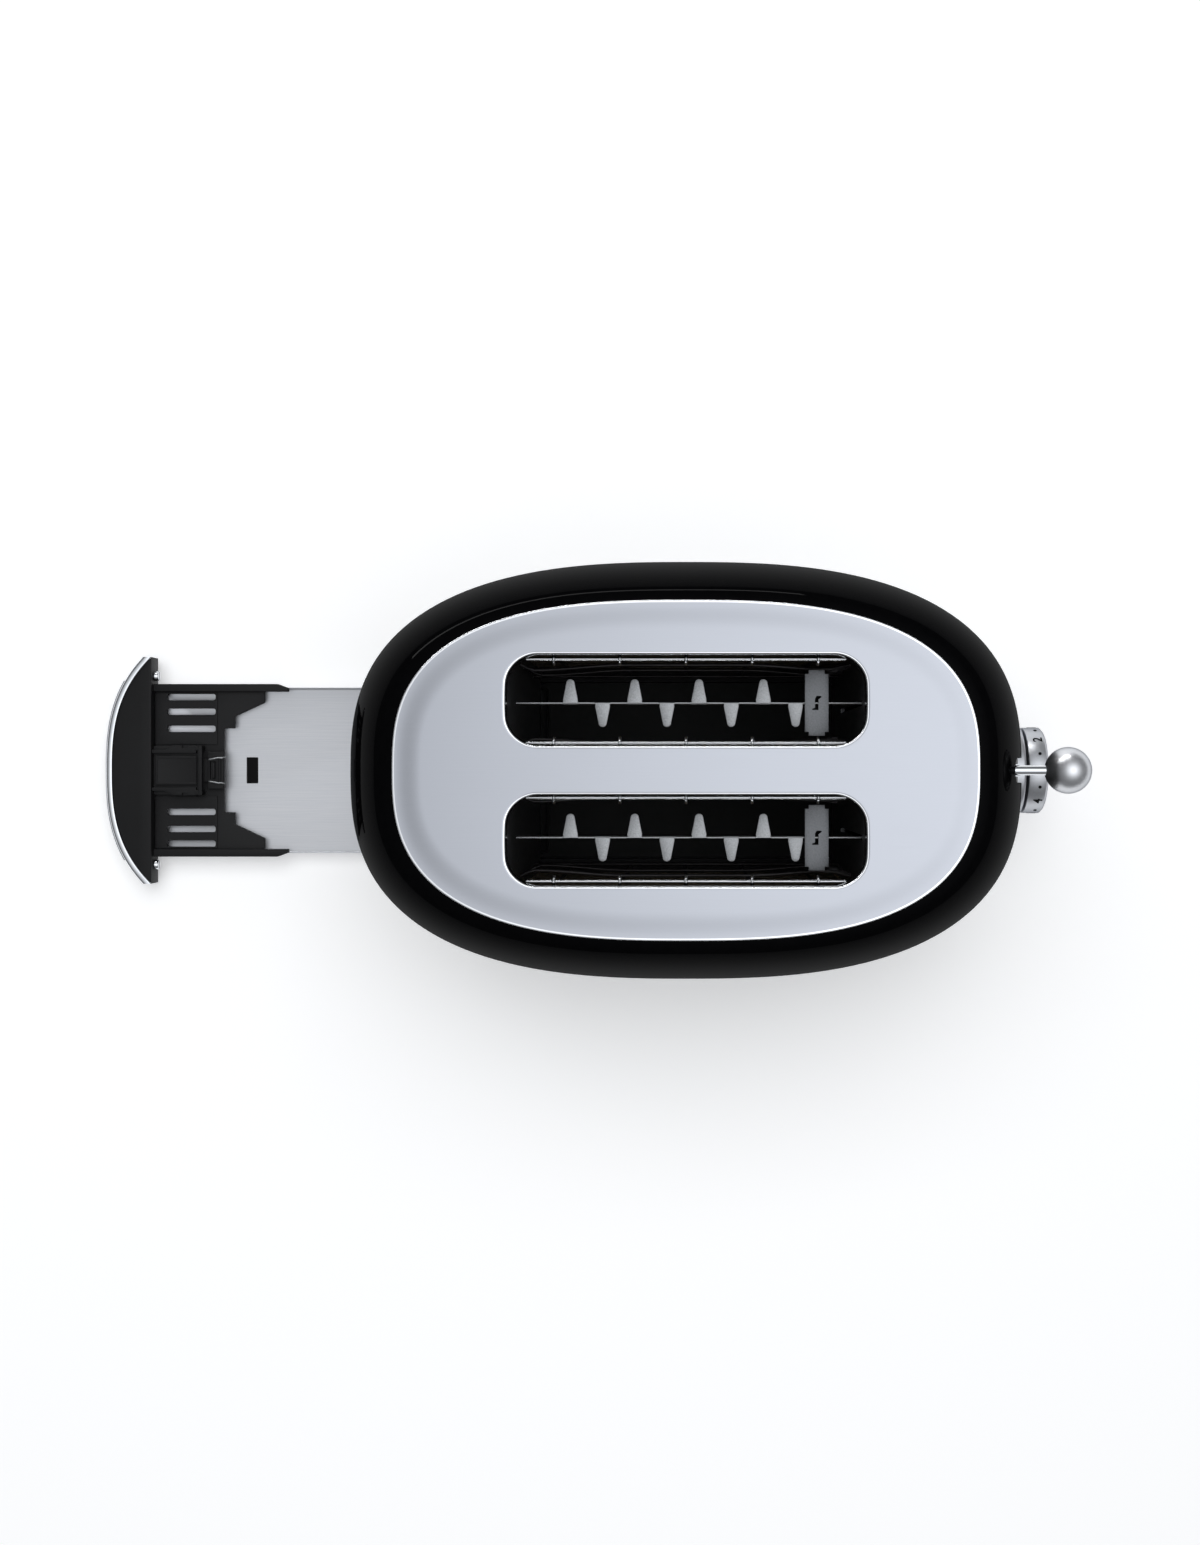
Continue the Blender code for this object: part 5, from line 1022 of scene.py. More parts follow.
@dataclass
class LiftRacks:
    """The toothed racks that carry the slices, and the notched plates on their front ends."""

    y: float = 28.6
    back: float = -72.3
    front: float = 78.7
    top: float = 156.4
    height: float = 10.4
    thickness: float = 0.55
    rack_edge: float = 0.1
    tooth_starts: tuple[float, float] = (-49.2, -35.5)
    tooth_pitch: float = 27.35
    tooth_length: float = 10.2
    tooth_root: float = 6.3
    tooth_tip: float = 3.6
    tooth_shank: float = 1.6
    tooth_thickness: float = 1.2
    tooth_sunk: float = 0.05
    notch_side: float = 0.3
    notch_depth: float = 4.0
    edge: float = 0.25
    stop_start: float = 50.4
    stop_length: float = 10.1
    stop_width: float = 27.9
    stop_notch: float = 1.6
    stop_lift: float = 0.3
    stop_thickness: float = 1.2
    hook_width: float = 1.5
    hook_length: float = 6.0

    def tooth(self, x: float, y: float, direction: int) -> Outline:
        """A tooth's plan: a straight root, straight flanks and a round tip.

        Args:
            x: Its place along the rack.
            y: The rack's middle line.
            direction: Minus one or plus one, the side it points to.

        Returns:
            Its outline, at its underside.
        """
        root, tip, length = self.tooth_root / 2, self.tooth_tip / 2, self.tooth_length
        flank = [(root, 0.0), (root, self.tooth_shank)]
        flank += [(tip * math.cos(a), length - tip + tip * math.sin(a)) for a in QUARTER_TURN]
        plan = [(x + w, y + direction * d) for w, d in flank] + [(x - w, y + direction * d) for w, d in flank[-2::-1]]
        return [Vector((a, b, self.top - self.tooth_thickness)) for a, b in plan]

    def build(self) -> None:
        """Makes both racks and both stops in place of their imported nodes."""
        for name, side in (("left", -1), ("right", 1)):
            y = side * self.y
            half = self.thickness / 2
            low, high = (self.back, y - half, self.top - self.height), (self.front, y + half, self.top)
            rack = Shape().box(low, high, self.rack_edge)
            for direction, start in zip((1, -1), self.tooth_starts):
                teeth, notches = Shape(), Shape()
                for index in range(4):
                    x = start + index * self.tooth_pitch
                    teeth.pad(self.tooth(x, y, direction), self.tooth_thickness - self.tooth_sunk, self.edge, 2)
                    reach = self.tooth_root / 2 + self.notch_side
                    near, far = sorted((y - direction * self.tooth_sunk, y - direction))
                    notches.box((x - reach, near, self.top - self.notch_depth), (x + reach, far, self.top + 1))
                rack.carve(teeth, "UNION").carve(notches)
            rack.piece(f"toothed_rack_{name}", ZINC, "carriage", [f"rack_{name}"])
            self.build_stop(name, y)

    def build_stop(self, name: str, y: float) -> None:
        """Makes the plate on a rack's front end, with its hook-shaped slot.

        Args:
            name: Which rack it belongs to.
            y: The middle of that rack's bread slot.
        """
        low, half, notch = self.stop_start, self.stop_width / 2, self.stop_notch
        high = low + self.stop_length
        quarter = [(high, half - notch), (high - notch, half - notch), (high - notch, half)]
        middle = (low + high) / 2
        plan = quarter + [(2 * middle - x, w) for x, w in quarter[::-1]]
        plan += [(2 * middle - x, -w) for x, w in quarter] + [(x, -w) for x, w in quarter[::-1]]
        z = self.top + self.stop_lift
        stop = Shape().pad([Vector((x, y + w, z)) for x, w in plan], self.stop_thickness, self.edge, 2)
        hook = Shape()
        width, reach = self.hook_width / 2, self.hook_length / 2
        hook_plan = [(width, -reach), (width, reach - 1.5), (width + 1.5, reach - 0.4), (width + 0.9, reach),
                     (0, reach), (-width, reach - 1.2), (-width, -reach + 1.0), (-width - 1.4, -reach + 0.4),
                     (-width - 1.0, -reach)]
        hook.extrude([Vector((middle + a, y + b, z - 1)) for a, b in hook_plan], (0, 0, 4))
        stop.carve(hook).piece(f"rack_end_plate_{name}", BLOOMED, "carriage", [f"rack_stop_{name}"])


@dataclass
class Lever:
    """The lever's stem and its ball."""

    z: float = 160.0
    stem_start: float = 97.3
    stem_end: float = 157.4
    stem_radius: float = 2.1
    stem_edge: float = 0.3
    ball_x: float = 161.6
    ball_radius: float = 9.9
    bore: float = 2.5
    bore_edge: float = 0.35
    bore_end: float = 0.75
    seat: float = 6.0

    def build(self) -> None:
        """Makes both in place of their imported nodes."""
        start, end, radius, edge = self.stem_start, self.stem_end, self.stem_radius, self.stem_edge
        profile = [(start, 0), (start, radius - edge), (start + edge, radius), (end - edge, radius),
                   (end, radius - edge), (end, 0)]
        centre = (0, 0, self.z)
        Shape().turn(profile, centre, "X").piece("chrome_lever_stem", CHROME, "carriage", ["lever_stem"])
        seat_x = self.ball_x - self.ball_radius + self.seat
        mouth = math.degrees(math.asin((self.bore + self.bore_edge) / self.ball_radius))
        ball = [(seat_x, 0), (seat_x, self.bore), (self.ball_x - self.ball_radius + self.bore_end, self.bore)]
        ball += arc_points((self.ball_x, 0), self.ball_radius, 180 - mouth, 0, 40)[:-1]
        ball.append((self.ball_x + self.ball_radius, 0))
        shape = Shape().turn(ball, centre, "X", sides=72)
        shape.piece("chrome_lever_ball", TUMBLED, "carriage", ["lever_ball"])


@dataclass
class LiftSpring:
    """The coil round the guide rod, which shortens as the carriage goes down."""

    wire_radius: float = 0.5
    wire_play: float = 0.01
    turns: int = 10
    steps: int = 20
    closed_share: float = 0.03
    travel: float = 80.0

    def build(self) -> None:
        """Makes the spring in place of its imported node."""
        low, high = [Vector(corner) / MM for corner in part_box("lift_spring")]
        middle = (low + high) / 2
        radius = (high.y - low.y) / 2 - self.wire_radius
        bottom, top = low.z + self.wire_radius, high.z - self.wire_radius
        count = self.turns * self.steps
        points = []
        closed = self.closed_share
        for index in range(count + 1):
            angle = 2 * math.pi * index / self.steps
            first = min(index / self.steps, 1)
            open_part = min(max((index - self.steps) / (count - 2 * self.steps), 0), 1)
            last = max((index - count) / self.steps + 1, 0)
            share = closed * first + (1 - 2 * closed) * open_part + closed * last
            height = bottom + (top - bottom) * share
            points.append(Vector((middle.x + radius * math.cos(angle), middle.y + radius * math.sin(angle), height)))
        spring = Shape().wire(points, self.wire_radius - self.wire_play, 10).piece(
            "coiled_lift_spring", WIRE, replaces=["lift_spring"], sharp=60)
        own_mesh(spring)


@dataclass
class BrowningDial:
    """The fixed bezel, and the knob with its printed numbers.

    The knob's back and rim edges are pairs of depth and of drop below its radius.
    """

    form: BodyForm
    z: float = 45.0
    bezel_radius: float = 22.35
    bezel_start: float = 143.6
    bezel_face: float = 163.6
    bezel_bore: float = 3.6
    bezel_edge: float = 1.6
    knob_back: float = 164.9
    knob_front: float = 174.5
    knob_radius: float = 21.0
    rim_width: float = 3.4
    back_edge: tuple[tuple[float, float], ...] = ((0.0, 0.5), (0.15, 0.15), (0.5, 0.0))
    rim_edge: tuple[tuple[float, float], ...] = ((1.5, 0.0), (1.2, 0.12), (0.3, 1.1), (0.0, 1.6))
    dish: float = 1.5
    bore: float = 3.3
    bore_depth: float = 5.4
    pointer_width: float = 4.0
    pointer_sunk: float = 0.4
    pointer_gap: float = 0.75
    pointer_edge: float = 0.3
    digit_height: float = 4.6
    digit_share: float = 0.73
    digit_weight: float = 0.06
    print_x: float = 170.3
    print_lift: float = 0.16
    print_sunk: float = 0.03
    dot_radius: float = 0.8
    pitch: float = 45.0

    def build(self) -> None:
        """Makes the bezel, the knob and the print."""
        centre = (0, 0, self.z)
        face, radius, edge = self.bezel_face, self.bezel_radius, self.bezel_edge
        profile = [(self.bezel_start, self.bezel_bore), (self.bezel_start, radius), (face - edge, radius)]
        profile += arc_points((face - edge, radius - edge), edge, 90, 0, 6)[1:]
        profile += [(face, self.bezel_bore)]
        bezel = Shape().turn(profile, centre, "X", closed=True, sides=96)
        form = self.form
        envelope = Shape().skin([form.ring(z, form.fit) for z in form.heights(form.crown)])
        bezel.carve(envelope).piece("chrome_dial_bezel", PEARL, replaces=["knob_bezel"])
        self.build_knob(centre)
        self.print_numbers()

    def build_knob(self, centre: Sequence[float]) -> None:
        """Makes the dished knob with its pointer bar.

        Args:
            centre: The point on its axis that its places are counted from.
        """
        back, front, radius = self.knob_back, self.knob_front, self.knob_radius
        inner = radius - self.rim_width
        profile = [(back + self.bore_depth, 0), (back + self.bore_depth, self.bore), (back, self.bore)]
        profile += [(back + depth, radius - drop) for depth, drop in self.back_edge]
        profile += [(front - depth, radius - drop) for depth, drop in self.rim_edge]
        profile += [(front, inner + 0.4), (front - 0.25, inner)]
        profile += [(front - self.dish + 0.3, inner - self.dish), (front - self.dish, inner - self.dish - 0.5)]
        profile += [(front - self.dish, 0)]
        knob = Shape().turn(profile, centre, "X", sides=144)
        half = self.pointer_width / 2
        low = (front - 2 * self.dish, -half, self.z)
        high = (front - self.pointer_sunk, half, self.z + inner - self.pointer_gap)
        bar = Shape().box(low, high, self.pointer_edge)
        knob.carve(bar, "UNION").piece("chrome_browning_knob", PEARL, "knob", ["browning_knob"])

    def on_rim(self, along: float, up: float, turn: float, lift: float) -> Vector:
        """A point on the knob's rim from flat print coordinates.

        Args:
            along: The way that the print reads.
            up: Towards the top of the print, which is the toaster's side of the rim.
            turn: The print's place round the knob, in radians from the top towards +Y.
            lift: How far the point stands off the rim.

        Returns:
            The point.
        """
        angle = turn + along / self.knob_radius
        radius = self.knob_radius + lift
        return Vector((self.print_x - up, radius * math.sin(angle), self.z + radius * math.cos(angle)))

    def print_numbers(self) -> None:
        """Prints one to six round the rim, with a dot between each pair."""
        print_shape = Shape()
        for number in range(1, 7):
            turn = math.radians((3 - number) * self.pitch)
            self.add_digit(print_shape.bm, str(number), turn)
            if number < 6:
                half_step = turn - math.radians(self.pitch / 2)
                angles = [2 * math.pi * step / 20 for step in range(20)]
                rings = [[self.on_rim(self.dot_radius * math.cos(a), self.dot_radius * math.sin(a), half_step, lift)
                          for a in angles] for lift in (-self.print_sunk, self.print_lift)]
                print_shape.skin(rings)
        print_shape.piece("dial_numbers", INK, "knob", sharp=30)

    def add_digit(self, bm: bmesh.types.BMesh, digit: str, turn: float) -> None:
        """Adds one digit, bent round the rim.

        Args:
            bm: The mesh it goes into.
            digit: The number to print.
            turn: Its place round the knob, in radians from the top towards +Y.
        """
        curve = bpy.data.curves.new("digit", "FONT")
        curve.body = digit
        curve.size = self.digit_height / self.digit_share
        curve.align_x, curve.align_y = "CENTER", "CENTER"
        curve.offset = self.digit_weight
        curve.resolution_u = 6
        curve.extrude = 0.5
        holder = bpy.data.objects.new("digit", curve)
        bpy.context.collection.objects.link(holder)
        bpy.context.view_layer.update()
        mesh = bpy.data.meshes.new_from_object(holder.evaluated_get(bpy.context.evaluated_depsgraph_get()))
        glyph = bmesh.new()
        glyph.from_mesh(mesh)
        bmesh.ops.remove_doubles(glyph, verts=glyph.verts, dist=0.001)
        for vert in glyph.verts:
            lift = self.print_lift if vert.co.z > 0 else -self.print_sunk
            vert.co = self.on_rim(vert.co.x, vert.co.y, turn, lift)
        glyph.to_mesh(mesh)
        glyph.free()
        bm.from_mesh(mesh)
        bpy.data.objects.remove(holder, do_unlink=True)
        bpy.data.curves.remove(curve)
        bpy.data.meshes.remove(mesh)


@dataclass
class PushButtons:
    """Four small dished buttons, each in a thin ring that follows the body.

    The dish is pairs of depth and radius.
    """

    form: BodyForm
    face: float = 150.4
    stem_start: float = 124.3
    stem_radius: float = 2.0
    head_depth: float = 12.0
    radius: float = 4.5
    edge: float = 0.7
    dish: tuple[tuple[float, float], ...] = ((0.15, 3.2), (0.45, 2.1), (0.6, 0.0))
    y: float = 36.0
    z: tuple[float, float] = (38.0, 56.0)
    ring_span: tuple[float, float] = (130.0, 156.0)
    ring_gap: float = 0.35
    ring_width: float = 1.3
    ring_height: float = 0.6
    ring_seat: float = 0.02
    names: tuple[str, ...] = ("button_defrost", "button_bagel", "button_cancel", "button_reheat")

    def build(self) -> None:
        """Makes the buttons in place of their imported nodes, and the rings."""
        places = [(side * self.y, z) for side in (-1, 1) for z in self.z]
        head = self.face - self.head_depth
        shoulder = self.face - self.edge
        profile = [(self.stem_start, 0), (self.stem_start, self.stem_radius), (head, self.stem_radius)]
        profile += [(head, self.radius), (shoulder, self.radius)]
        profile += arc_points((shoulder, self.radius - self.edge), self.edge, 90, 0, 4)[1:]
        profile += [(self.face - depth, radius) for depth, radius in self.dish]
        for name, (y, z) in zip(self.names, places):
            Shape().turn(profile, (0, y, z), "X").piece(f"chrome_{name}", CHROME, f"{name}_body", [name])
        rings = Shape()
        inner = self.radius + self.ring_gap
        outer = inner + self.ring_width
        back, front = self.ring_span
        for y, z in places:
            rings.turn([(back, inner), (back, outer), (front, outer), (front, inner)], (0, y, z), "X", closed=True)
        form = self.form
        heights = [form.bottom + 4 * step for step in range(20)]
        rings.carve(Shape().skin([form.ring(z, self.ring_height) for z in heights]), "INTERSECT")
        rings.carve(Shape().skin([form.ring(z, self.ring_seat) for z in heights]))
        rings.piece("button_rings", CHROME, sharp=50)


@dataclass
class CrumbTray:
    """The drawn-out crumb tray: chrome front, black handle and carrier, steel pan.

    The flange's edge is pairs of distance back from its end and drop, and its root is pairs of distance past the band's
    wall and drop. The carrier's steps are pairs of distance from its front and inset from its side.
    """

    form: BodyForm
    half_width: float = 58.0
    gap: float = 0.3
    skin: float = 0.02
    band_low: float = 0.8
    band_high: float = 15.4
    band_wall: float = 1.5
    band_edge: float = 0.8
    band_roll: float = 1.3
    flange: float = 3.2
    flange_edge: tuple[tuple[float, float], ...] = ((0.4, 0.0), (0.1, 0.1), (0.0, 0.35), (0.1, 0.6))
    flange_root: tuple[tuple[float, float], ...] = ((0.5, 0.7), (0.0, 1.1))
    strip_half: float = 46.0
    strip_lift: float = 0.1
    strip_thickness: float = 1.0
    strip_edge: tuple[float, float] = (0.5, 0.6)
    strip_low: float = 4.0
    strip_high: float = 13.0
    floor: float = 2.8
    handle_height: float = 11.7
    handle_edge: float = 0.5
    face: float = -273.6
    grid_start: float = -269.7
    screw_y: float = 48.5
    screw_z: float = 8.65
    screw_radius: float = 2.6
    screw_hole: tuple[float, float] = (9.3, 1.7)
    screw_shank: tuple[float, float] = (9.0, 1.4)
    screw_dome: float = 0.6
    screw_crown: float = 2.0
    screw_slot: tuple[float, float] = (1.3, 0.35)
    carrier_half: float = 44.35
    carrier_low: float = 6.8
    carrier_thickness: float = 2.0
    carrier_edge: float = 0.25
    carrier_steps: tuple[tuple[float, float], ...] = ((52.7, 9.45), (37.3, 16.65), (37.3, 22.75), (31.7, 22.75))
    rail_width: float = 3.85
    rail_height: float = 5.2
    rail_length: float = 65.0
    rail_taper: float = 5.1
    rail_root: float = 1.0
    rail_edge: float = 0.3
    slot_rows: tuple[float, ...] = (21.4, 30.2, 37.7)
    slot_start: float = -267.3
    slot_length: float = 25.2
    slot_width: float = 3.3
    slot_corner: float = 1.2
    panel_end: float = -241.2
    panel_y: tuple[float, float] = (13.2, 40.3)
    panel_skin: float = 0.03
    panel_root: float = 0.8
    panel_lift: float = 0.5
    panel_edge: float = 0.2
    pan_half: float = 42.8
    pan_back: float = -71.0
    pan_depth: float = 3.7
    pan_sheet: float = 0.6
    pan_corner: float = 2.4
    pan_inner_corner: float = 0.6
    hole: tuple[float, float, float] = (-227.8, 6.1, 6.9)
    hole_corner: float = 0.8
    # A black block inside the catch hole that keeps it dark, as painted shade: its gap, its span in height and its
    # edge.
    insert_gap: float = 0.1
    insert_up: tuple[float, float] = (0.05, 0.3)
    insert_edge: float = 0.05
    # How far forward from its back the pan is painted dark, as shade inside the body.
    scorched: float = 42.0

    def build(self) -> None:
        """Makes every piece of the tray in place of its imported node."""
        self.build_front()
        self.build_handle()
        self.build_carrier()
        self.build_pan()

    def sweep_front(self, section: Profile, half_width: float) -> Shape:
        """Sweeps a section, as (inset, height) pairs, round the front's curve."""
        lines = [self.form.front_arc(inset, half_width, z) for inset, z in section]
        return Shape().skin([list(ring) for ring in zip(*lines)])

    def build_front(self) -> None:
        """Makes the chrome band with its rolled top, and the raised strip on it."""
        low, high, edge, roll = self.band_low, self.band_high, self.band_edge, self.band_roll
        section = arc_points((edge, low + edge), edge, 270, 180, 4)
        section += arc_points((roll, high - roll), roll, 180, 90, 6)
        section += [(self.flange - back, high - drop) for back, drop in self.flange_edge]
        section += [(self.band_wall + past, high - drop) for past, drop in self.flange_root]
        section.append((self.band_wall, low))
        band = self.sweep_front(section, self.half_width)
        band.piece("chrome_tray_front", CHROME, "tray", ["tray_front_band"], sharp=50)
        inner = -self.strip_lift
        out = inner - self.strip_thickness
        bevel, rise = self.strip_edge
        section = [(inner, self.strip_low), (out + bevel, self.strip_low), (out, self.strip_low + rise)]
        section += [(out, self.strip_high - rise), (out + bevel, self.strip_high), (inner, self.strip_high)]
        strip = self.sweep_front(section, self.strip_half)
        strip.piece("satin_grip_strip", SATIN, "tray", ["tray_grip_strip"], sharp=50)

    def build_handle(self) -> None:
        """Makes the handle behind the chrome front, and its two screws."""
        face, half = self.face, self.half_width
        outline = self.form.front_arc(self.band_wall + self.gap, half, self.floor)
        outline += [Vector((face, half, self.floor)), Vector((face, -half, self.floor))]
        handle = Shape().pad(outline, self.handle_height, self.handle_edge)
        cuts = Shape()
        depth, bore = self.screw_hole
        profile = [(face - depth, 0), (face - depth, bore), (face + 2, bore), (face + 2, 0)]
        for side in (-1, 1):
            cuts.turn(profile, (0, side * self.screw_y, self.screw_z), "X", sides=24)
        handle.carve(cuts).piece("moulded_tray_handle", NYLON, "tray", ["tray_handle"])
        for name, side in (("left", -1), ("right", 1)):
            self.build_screw(name, side * self.screw_y)

    def build_screw(self, name: str, y: float) -> None:
        """Makes one of the slotted screws that hold the handle.

        Args:
            name: Which side it is on.
            y: Its place across the tray.
        """
        head = self.face + self.gap
        crown = head + self.screw_crown
        length, shank = self.screw_shank
        profile = [(self.face - length, 0), (self.face - length, shank), (head, shank), (head, self.screw_radius)]
        profile += arc_points((head + self.screw_dome, 0), self.screw_radius, 90, 12, 7)[1:]
        profile = [(min(x, crown), radius) for x, radius in profile] + [(crown, 0)]
        screw = Shape().turn(profile, (0, y, self.screw_z), "X", sides=32)
        rise, half = self.screw_slot
        slot = Shape().box((head + rise, y - 3, self.screw_z - half), (head + 4, y + 3, self.screw_z + half))
        screw.carve(slot).piece(f"chrome_tray_screw_{name}", CHROME, "tray", [f"tray_screw_{name}"])

    def carrier_plan(self) -> Outline:
        """The carrier's outline, which is stepped at its back end.

        Returns:
            The points in order, at its underside.
        """
        rail, width = self.rail_length, self.rail_width
        half = [(self.face + self.gap - self.grid_start, 0), (rail - self.rail_taper, 0), (rail, width / 2)]
        half += [(rail, width), (self.carrier_steps[0][0], width), *self.carrier_steps]
        places = [(self.grid_start + along, self.carrier_half - inset) for along, inset in half]
        plan = places + [(x, -y) for x, y in reversed(places)]
        return [Vector((x, y, self.carrier_low)) for x, y in plan]

    def build_carrier(self) -> None:
        """Makes the black carrier with its rails, its raised panels and the grille slots."""
        carrier = Shape().pad(self.carrier_plan(), self.carrier_thickness, self.carrier_edge, 2)
        skin, top = self.skin, self.carrier_low + self.carrier_thickness
        start, end = self.face + self.gap, self.grid_start + self.rail_length - skin
        outer, inner = self.carrier_half - skin, self.carrier_half - self.rail_width
        plan = [(start + skin, outer), (end - self.rail_taper, outer), (end, (outer + inner) / 2), (end, inner)]
        plan.append((start + skin, inner))
        rise = self.rail_height - self.carrier_thickness + self.rail_root
        for side in (-1, 1):
            outline = [Vector((x, side * y, top - self.rail_root)) for x, y in plan]
            carrier.carve(Shape().pad(outline, rise, self.rail_edge, 2), "UNION")
            near, far = sorted(side * y for y in self.panel_y)
            low = (start + self.panel_skin, near, top - self.panel_root)
            high = (self.panel_end, far, top + self.panel_lift)
            carrier.carve(Shape().box(low, high, self.panel_edge), "UNION")
        slots = Shape()
        centre_x = self.slot_start + self.slot_length / 2
        for side in (-1, 1):
            for row in self.slot_rows:
                size = (self.slot_length, self.slot_width)
                below = self.carrier_low - 1
                outline = rounded_rectangle((centre_x, side * row), *size, self.slot_corner, below, steps=5)
                slots.extrude(outline, (0, 0, 5))
        carrier.carve(slots).piece("moulded_tray_carrier", NYLON, "tray", ["tray_carrier"])

    def build_pan(self) -> None:
        """Makes the folded steel pan with its catch hole; its back end is darkened and a black block fills the hole,
        both painted shade.
        """
        start, half, low, sheet = self.face + self.gap, self.pan_half, self.floor, self.pan_sheet
        top = low + self.pan_depth
        centre, size = ((start + self.pan_back) / 2, 0), (self.pan_back - start, 2 * half)

        def ring(inset: float, z: float) -> Outline:
            """The pan's outline, moved inwards."""
            corner = max(self.pan_corner - inset, self.pan_inner_corner)
            return rounded_rectangle(centre, size[0] - 2 * inset, size[1] - 2 * inset, corner, z)

        # Up the outside of the folded wall with its rounded floor edge, over its top, and down the inside.
        rings = [ring(0.8, low), ring(0.25, low + 0.2), ring(0, low + 0.8), ring(0, top - 0.2), ring(0.15, top)]
        rings += [ring(sheet - 0.15, top), ring(sheet, top - 0.2), ring(sheet, low + sheet + 0.7)]
        rings += [ring(sheet + 0.2, low + sheet + 0.2), ring(sheet + 0.8, low + sheet)]
        pan = Shape().skin(rings)
        # The pan is split where its back end, inside the body, turns to dark sheet: painted shade.
        everything = pan.bm.verts[:] + pan.bm.edges[:] + pan.bm.faces[:]
        cut_at = Vector((self.pan_back - self.scorched, 0, 0))
        bmesh.ops.bisect_plane(pan.bm, geom=everything, plane_co=cut_at, plane_no=Vector((1, 0, 0)))
        x, length, half_hole = self.hole
        cut = rounded_rectangle((x + length / 2, 0), length, 2 * half_hole, self.hole_corner, low - 2)
        made = pan.carve(Shape().extrude(cut, (0, 0, 4))).piece("brushed_crumb_pan", BRUSHED, "tray", ["tray_pan"])
        # The pan's back end, which lies inside the body, takes the dark sheet: painted shade.
        made.data.materials.append(SHADE_DARK_SHEET.build())
        for face in made.data.polygons:
            if face.center.x / MM > self.pan_back - self.scorched:
                face.material_index = 1
        # A black block inside the catch hole keeps the hole dark: painted shade.
        gap, (bottom, top) = self.insert_gap, [low + rise for rise in self.insert_up]
        corner, opposite = (x + gap, gap - half_hole, bottom), (x + length - gap, half_hole - gap, top)
        Shape().box(corner, opposite, self.insert_edge).piece("tray_catch_hole_shade", INK, "tray")


@dataclass(frozen=True)
class Block:
    """A block with spans along, across and up from the latch's face, middle line and floor, in millimetres."""

    along: tuple[float, float]
    across: tuple[float, float]
    up: tuple[float, float]
    edge: float = 0.0


